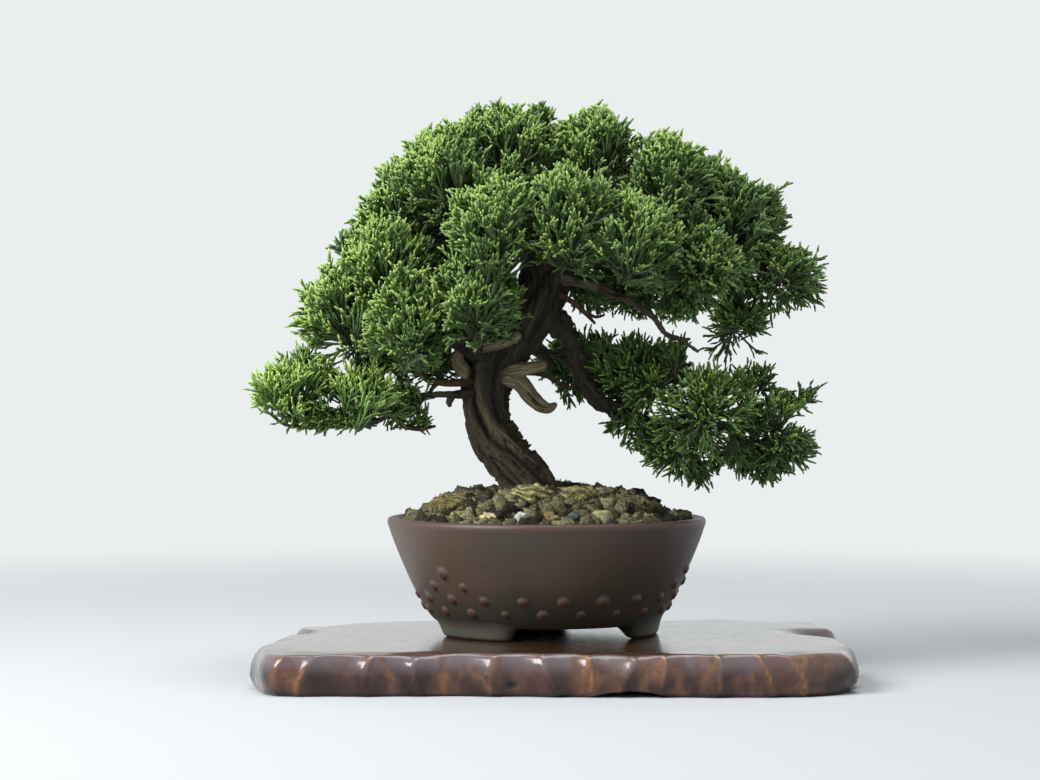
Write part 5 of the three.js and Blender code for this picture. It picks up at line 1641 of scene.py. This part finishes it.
def filling_tufts(name, rng):
    """Tufts in the gaps beside one cloud, inside the regions of FILLS."""
    bases, aims = [], []
    for x, y, z, rx, ry, rz, count, towards, owner in FILLS:
        if owner == name:
            at = unit(rng.normal(0, 1, (count, 3))) * rng.uniform(0.3, 1, (count, 1))
            aim = unit(np.array(towards) + rng.normal(0, 0.3, (count, 3)))
            bases.append((x, y, z) + at * (rx, ry, rz) - FILL_SETBACK * aim)
            aims.append(aim)
    return (np.vstack(bases), np.vstack(aims)) if bases else (np.zeros((0, 3)), np.zeros((0, 3)))


def turned_from(way, angle, spin):
    """Directions at an angle from way, at a spin round it."""
    guide = np.where(np.abs(way[:, 2:3]) < 0.8, UP, (1.0, 0.0, 0.0))
    side = unit(np.cross(way, guide))
    across = np.cross(way, side)
    angle, spin = angle[:, None], spin[:, None]
    return np.cos(angle) * way + np.sin(angle) * (np.cos(spin) * side + np.sin(spin) * across)


def cords(base, way, lean, length, radius, kind, tone, start, end):
    """A table of cords, one per row."""
    count = len(base)
    values = (length, radius, kind, tone, start, end)
    full = [np.broadcast_to(np.asarray(v, float), count) for v in values]
    return np.column_stack([base, way, lean, *full])


def point_on(table, share):
    """Places and directions at a share of the way up curved cords."""
    way, lean, length = table[:, 3:6], table[:, 6:9], table[:, 9:10]
    share = np.asarray(share)[:, None]
    return (table[:, :3] + length * (way * share + CORD_BEND * lean * share ** 2),
            unit(way + 2 * CORD_BEND * lean * share))


def clear_of_air(points):
    """Whether points are outside all the places of AIR."""
    clear = np.ones(len(points), bool)
    for x, y, z, rx, ry, rz in AIR:
        clear &= (((points - (x, y, z)) / (rx, ry, rz)) ** 2).sum(1) > 1
    return clear


def buds_of(stem, place, round_at, lengths, girth, low, high, rng):
    """One bud on each cord of stem, at a share of the way up it."""
    count = len(stem)
    at, forward = point_on(stem, np.full(count, place))
    bud = turned_from(forward, rng.uniform(*BUD_OPENING, count), round_at)
    length = rng.uniform(*lengths, count)
    return cords(at, bud, forward, length, girth * BUD_GIRTH, 2, stem[:, 12], low, high)


def shoots_of(base, aim, depth, lit, rng, airy):
    """Every cord of every shoot of the tufts: main cords, side cords and the buds near their ends."""
    per = AIRY_SHOOTS if airy else SHOOTS_PER_TUFT
    girth = CORD_RADIUS * (AIRY_GIRTH if airy else 1)
    spread = AIRY_OPENING if airy else SIDE_OPENING
    base, aim, depth, lit = (np.repeat(v, per, 0) for v in (base, aim, depth, lit))
    count = len(base)
    spin = np.tile(np.arange(per) * 2 * math.pi / per, count // per)
    spin = spin + np.repeat(rng.uniform(0, 6.28, count // per), per) + rng.normal(0, 0.3, count)
    opening = np.tile(np.linspace(0.06, 0.58, per), count // per) + rng.normal(0, 0.06, count)
    way = turned_from(aim, opening, spin)
    length = depth * rng.uniform(0.74, 1.14, count) * (1.04 - 0.18 * opening)
    lean = unit(aim + 0.3 * UP - way * ((aim + 0.3 * UP) * way).sum(1, keepdims=True))
    base = base + way * rng.uniform(0, 1.5, (count, 1)) + rng.normal(0, 0.5, (count, 3))
    tone = (lit + rng.normal(0, 0.14, count)).clip(0.06, 0.97)
    main = cords(base, way, lean, length, girth * 0.95, 0, tone, 0, 0.72)
    main = main[clear_of_air(base + way * length[:, None])]
    length, tone, count = main[:, 9], main[:, 12], len(main)
    table = [main]
    first = rng.uniform(0, 6.28, count)
    for k in range(SIDE_CORDS):
        share = np.clip(0.48 + 0.16 * k + rng.normal(0, 0.04, count), 0.3, 0.9)
        at, forward = point_on(main, share)
        out = turned_from(forward, rng.uniform(*spread, count), first + k * GOLDEN_ANGLE)
        reach = length * (0.5 - 0.34 * share) * rng.uniform(0.8, 1.3, count) * (1.25 if airy else 1)
        young = 0.62 * share
        side = cords(at, out, forward, reach, girth, 1, tone, young, young + 0.25)
        table.append(side)
        for j, place in enumerate((0.84,) if airy else (0.55, 0.84)):
            low = young + 0.25 * place
            high = np.minimum(low + 0.4, 1.0)
            table.append(buds_of(side, place, first + j * math.pi + k, BUD_LENGTH, girth, low, high, rng))
    for j, place in enumerate((0.78, 0.92)):
        table.append(buds_of(main, place, first + 2 + j * math.pi, END_BUD_LENGTH, girth, 0.62, 1.0, rng))
    return np.vstack(table)


def inner_shoots_of(base, aim, per, rng):
    """Long plain shoots in the shade behind the tufts, so many for each."""
    base, aim = np.repeat(base, per, 0), np.repeat(aim, per, 0)
    count = len(base)
    way = turned_from(aim, rng.uniform(0.2, 1.1, count), rng.uniform(0, 6.28, count))
    base = base - aim * rng.uniform(-2, 6, (count, 1))
    lean = unit(UP - way * way[:, 2:3] + 0.01)
    # painted shade: these shoots get the dimmest colours
    tone = rng.uniform(0.02, 0.22, count)
    girth = CORD_RADIUS * INNER_GIRTH
    main = cords(base, way, lean, rng.uniform(*INNER_LENGTH, count), girth, 0, tone, 0, 0.5)
    main = main[clear_of_air(base + way * main[:, 9:10])]
    tone, count = main[:, 12], len(main)
    table = [main]
    for k in range(3):
        at, forward = point_on(main, np.full(count, 0.35 + 0.2 * k))
        out = turned_from(forward, rng.uniform(0.5, 0.8, count), rng.uniform(0, 6.28, count))
        length = rng.uniform(*INNER_SIDE_LENGTH, count)
        table.append(cords(at, out, forward, length, girth, 1, tone, 0.2, 0.6))
    return np.vstack(table)


def shoot_recipe(leaf):
    """Tapered cords with blunt tips, on points that carry where each grows and how old it is."""
    g = Recipe("shoots", Sides=4, Foliage=leaf)
    join = g.tree.nodes.new("GeometryNodeJoinGeometry")
    turn = g.turned("lean", "X", g.turned("way", "Z"), "Z")
    girth = g.read("radius")
    scale = g("ShaderNodeCombineXYZ", girth, girth, g.read("length"))
    for kind, segments in enumerate((3, 2, 1)):
        rod = g("GeometryNodeMeshCylinder", g.given["Sides"], segments, 1, 1.0, 1.0)
        x, y, z = g.parts(g("GeometryNodeInputPosition"))
        z = g.plus(z, 0.5)
        for name, value in (("share", z), ("across", x), ("beside", y)):
            rod = g.store(rod, name, value)
        narrow = g.sum("SUBTRACT", 1.0, g.times(g.sum("GREATER_THAN", z, 0.99), 0.4))
        rod = g("GeometryNodeSetPosition", rod, True,
                g("ShaderNodeCombineXYZ", g.times(x, narrow), g.times(y, narrow), z))
        mine = g("FunctionNodeCompare", g.read("kind", "INT"), kind, data_type="INT", operation="EQUAL")
        grown = g("GeometryNodeInstanceOnPoints", g.given["Geometry"], mine, rod, Rotation=turn, Scale=scale)
        g.tree.links.new(grown, join.inputs[0])
    real = g("GeometryNodeRealizeInstances", join.outputs[0])
    share = g.read("share")
    bend = g.times(g.times(share, share), g.times(g.read("length"), CORD_BEND))
    lean = g.scaled(g.read("lean", "FLOAT_VECTOR"), bend)
    real = g("GeometryNodeSetPosition", real, True, None, lean)
    young = g("ShaderNodeMix", share, g.read("start"), g.read("end"), data_type="FLOAT")
    v = g.plus(young, g.times(g.read("beside"), 0.008))
    u = g.plus(g.read("tone"), g.times(g.read("across"), 0.015))
    uv = g("ShaderNodeCombineXYZ", g("ShaderNodeClamp", u), g("ShaderNodeClamp", v), 0.0)
    real = g.store(real, "OFBake", uv, "FLOAT2", "CORNER")
    for name in ("way", "lean", "share", "across", "beside", *CORD_FIELDS):
        real = g("GeometryNodeRemoveAttribute", real, Name=name)
    return g.finish(g.dress(real, g.given["Foliage"]))


def cord_piece(name, table, recipe):
    """Cords grown by a recipe from a table of them."""
    piece = mesh_of(name, table[:, :3], [])
    put_attribute(piece.data, "way", table[:, 3:6])
    put_attribute(piece.data, "lean", table[:, 6:9])
    for k, field in enumerate(CORD_FIELDS):
        put_attribute(piece.data, field, table[:, 9 + k] * (MM if k < 2 else 1))
    return recipe.make(piece)


def wood_points(lines):
    """Stations on limbs where twigs may start: x, y, z and radius."""
    return np.vstack([smooth_line(line, 2.5)[2:] for line in lines])


def twigs_to(bases, wood, rng):
    """Curved twigs from the nearest wood or older twig to each tuft's base."""
    grown = wood.copy()
    order = np.argsort([np.linalg.norm(wood[:, :3] - b, axis=1).min() for b in bases])
    lines = []
    for i in order:
        base = bases[i]
        away = grown[:, :3] - base
        cost = np.linalg.norm(away, axis=1) + 0.35 * np.abs(away[:, 2])
        root = grown[cost.argmin()]
        span = np.linalg.norm(base - root[:3])
        if span < 1:
            continue
        knee = (root[:3] + base) / 2 + rng.normal(0, 0.1 * span, 3) - UP * 0.08 * span
        t = np.linspace(0, 1, max(4, int(span / 2.2)))[:, None]
        path = (1 - t) ** 2 * root[:3] + 2 * t * (1 - t) * knee + t ** 2 * base
        radius = np.linspace(min(0.75 * root[3], 0.5 + 0.028 * span), TWIG_TIP_RADIUS, len(t))
        line = np.column_stack([path, radius])
        lines.append(line)
        grown = np.vstack([grown, line[1:]])
    return lines


def twig_recipe(bark):
    """Round twigs along edges that carry their radius."""
    g = Recipe("twigs", Sides=5, Bark=bark)
    line = g("GeometryNodeMeshToCurve", g.given["Geometry"])
    profile = g("GeometryNodeCurvePrimitiveCircle", g.given["Sides"], 1.0)
    skin = g("GeometryNodeCurveToMesh", Curve=line, Profile_Curve=profile, Scale=g.read("radius"),
             Fill_Caps=True)
    return g.finish(g.dress(skin, g.given["Bark"]))


def twig_piece(name, lines, bark):
    points = np.vstack(lines)
    edges, count = [], 0
    for line in lines:
        edges += [(count + i, count + i + 1) for i in range(len(line) - 1)]
        count += len(line)
    mesh = bpy.data.meshes.new(name)
    mesh.from_pydata((points[:, :3] * MM).tolist(), edges, [])
    put_attribute(mesh, "radius", points[:, 3] * MM)
    piece = twig_recipe(bark).make(link(name, mesh))
    finish_piece(piece)


def carrying_lines(limb):
    return [TRUNK_LINE[-3:], *LEADER_FORKS] if limb == "leader" else BRANCHES[limb]


def foliage_pieces():
    leaf, bark = foliage_finish(), twig_finish()
    carried = {}
    shoots = shoot_recipe(leaf)
    for index, name in enumerate(PADS):
        rng = np.random.default_rng(SEED + index)
        limb = PADS[name][6]
        base, aim, depth, lit = tufts_of(index, name, wood_points(carrying_lines(limb)), rng)
        airy = name in AIRY
        table = [shoots_of(base, aim, depth, lit, rng, airy)]
        if not airy:
            table.append(inner_shoots_of(base, aim, 1 if name in BACK else INNER_SHOOTS, rng))
        extra, way = filling_tufts(name, rng)
        if limb not in carried and limb not in BARE_LIMBS:
            more, more_way = limb_tufts(carrying_lines(limb), rng)
            extra, way = np.vstack([extra, more]), np.vstack([way, more_way])
        # painted light for the filling tufts, darker than the others
        reach, lit = rng.uniform(*FILL_LENGTH, len(extra)), rng.uniform(*FILL_LIT, len(extra))
        table = np.vstack([*table, shoots_of(extra, way, reach, lit, rng, airy)])
        # painted light: some clouds shifted toward their young, light colours
        table[:, 13:15] = np.minimum(table[:, 13:15] + PAINTED_LIGHT_SHIFT.get(name, 0), 1)
        piece = cord_piece(f"foliage_{name}", table, shoots)
        finish_piece(piece, [f"pad_{name}"] if f"pad_{name}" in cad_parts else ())
        carried.setdefault(limb, []).append(base)
    twig_piece("twigs_shown", [smooth_line(line, 1.5) for line in SHOWN_TWIGS], bark)
    for limb, bases in carried.items():
        rng = np.random.default_rng(SEED + len(limb))
        lines = twigs_to(np.vstack(bases), wood_points(carrying_lines(limb)), rng)
        twig_piece(f"twigs_{limb}", lines, bark)


# ---- hardware

def hardware():
    """Finishes for the screens, their clips and the anchor wire, which stay in view as they are."""
    screen = screen_finish()
    zinc = wire_finish("clip_wire", (176, 172, 164))
    copper = wire_finish("tie_wire", (150, 142, 132))
    for side in ("left", "right"):
        dress_node(f"drain_screen_{side}", screen)
        dress_node(f"screen_clip_{side}", zinc)
    dress_node("anchor_wire", copper)


studio()
stand_piece()
pot_piece()
soil_pieces()
moss_pieces()
stone_pieces()
hardware()
wood_pieces()
foliage_pieces()
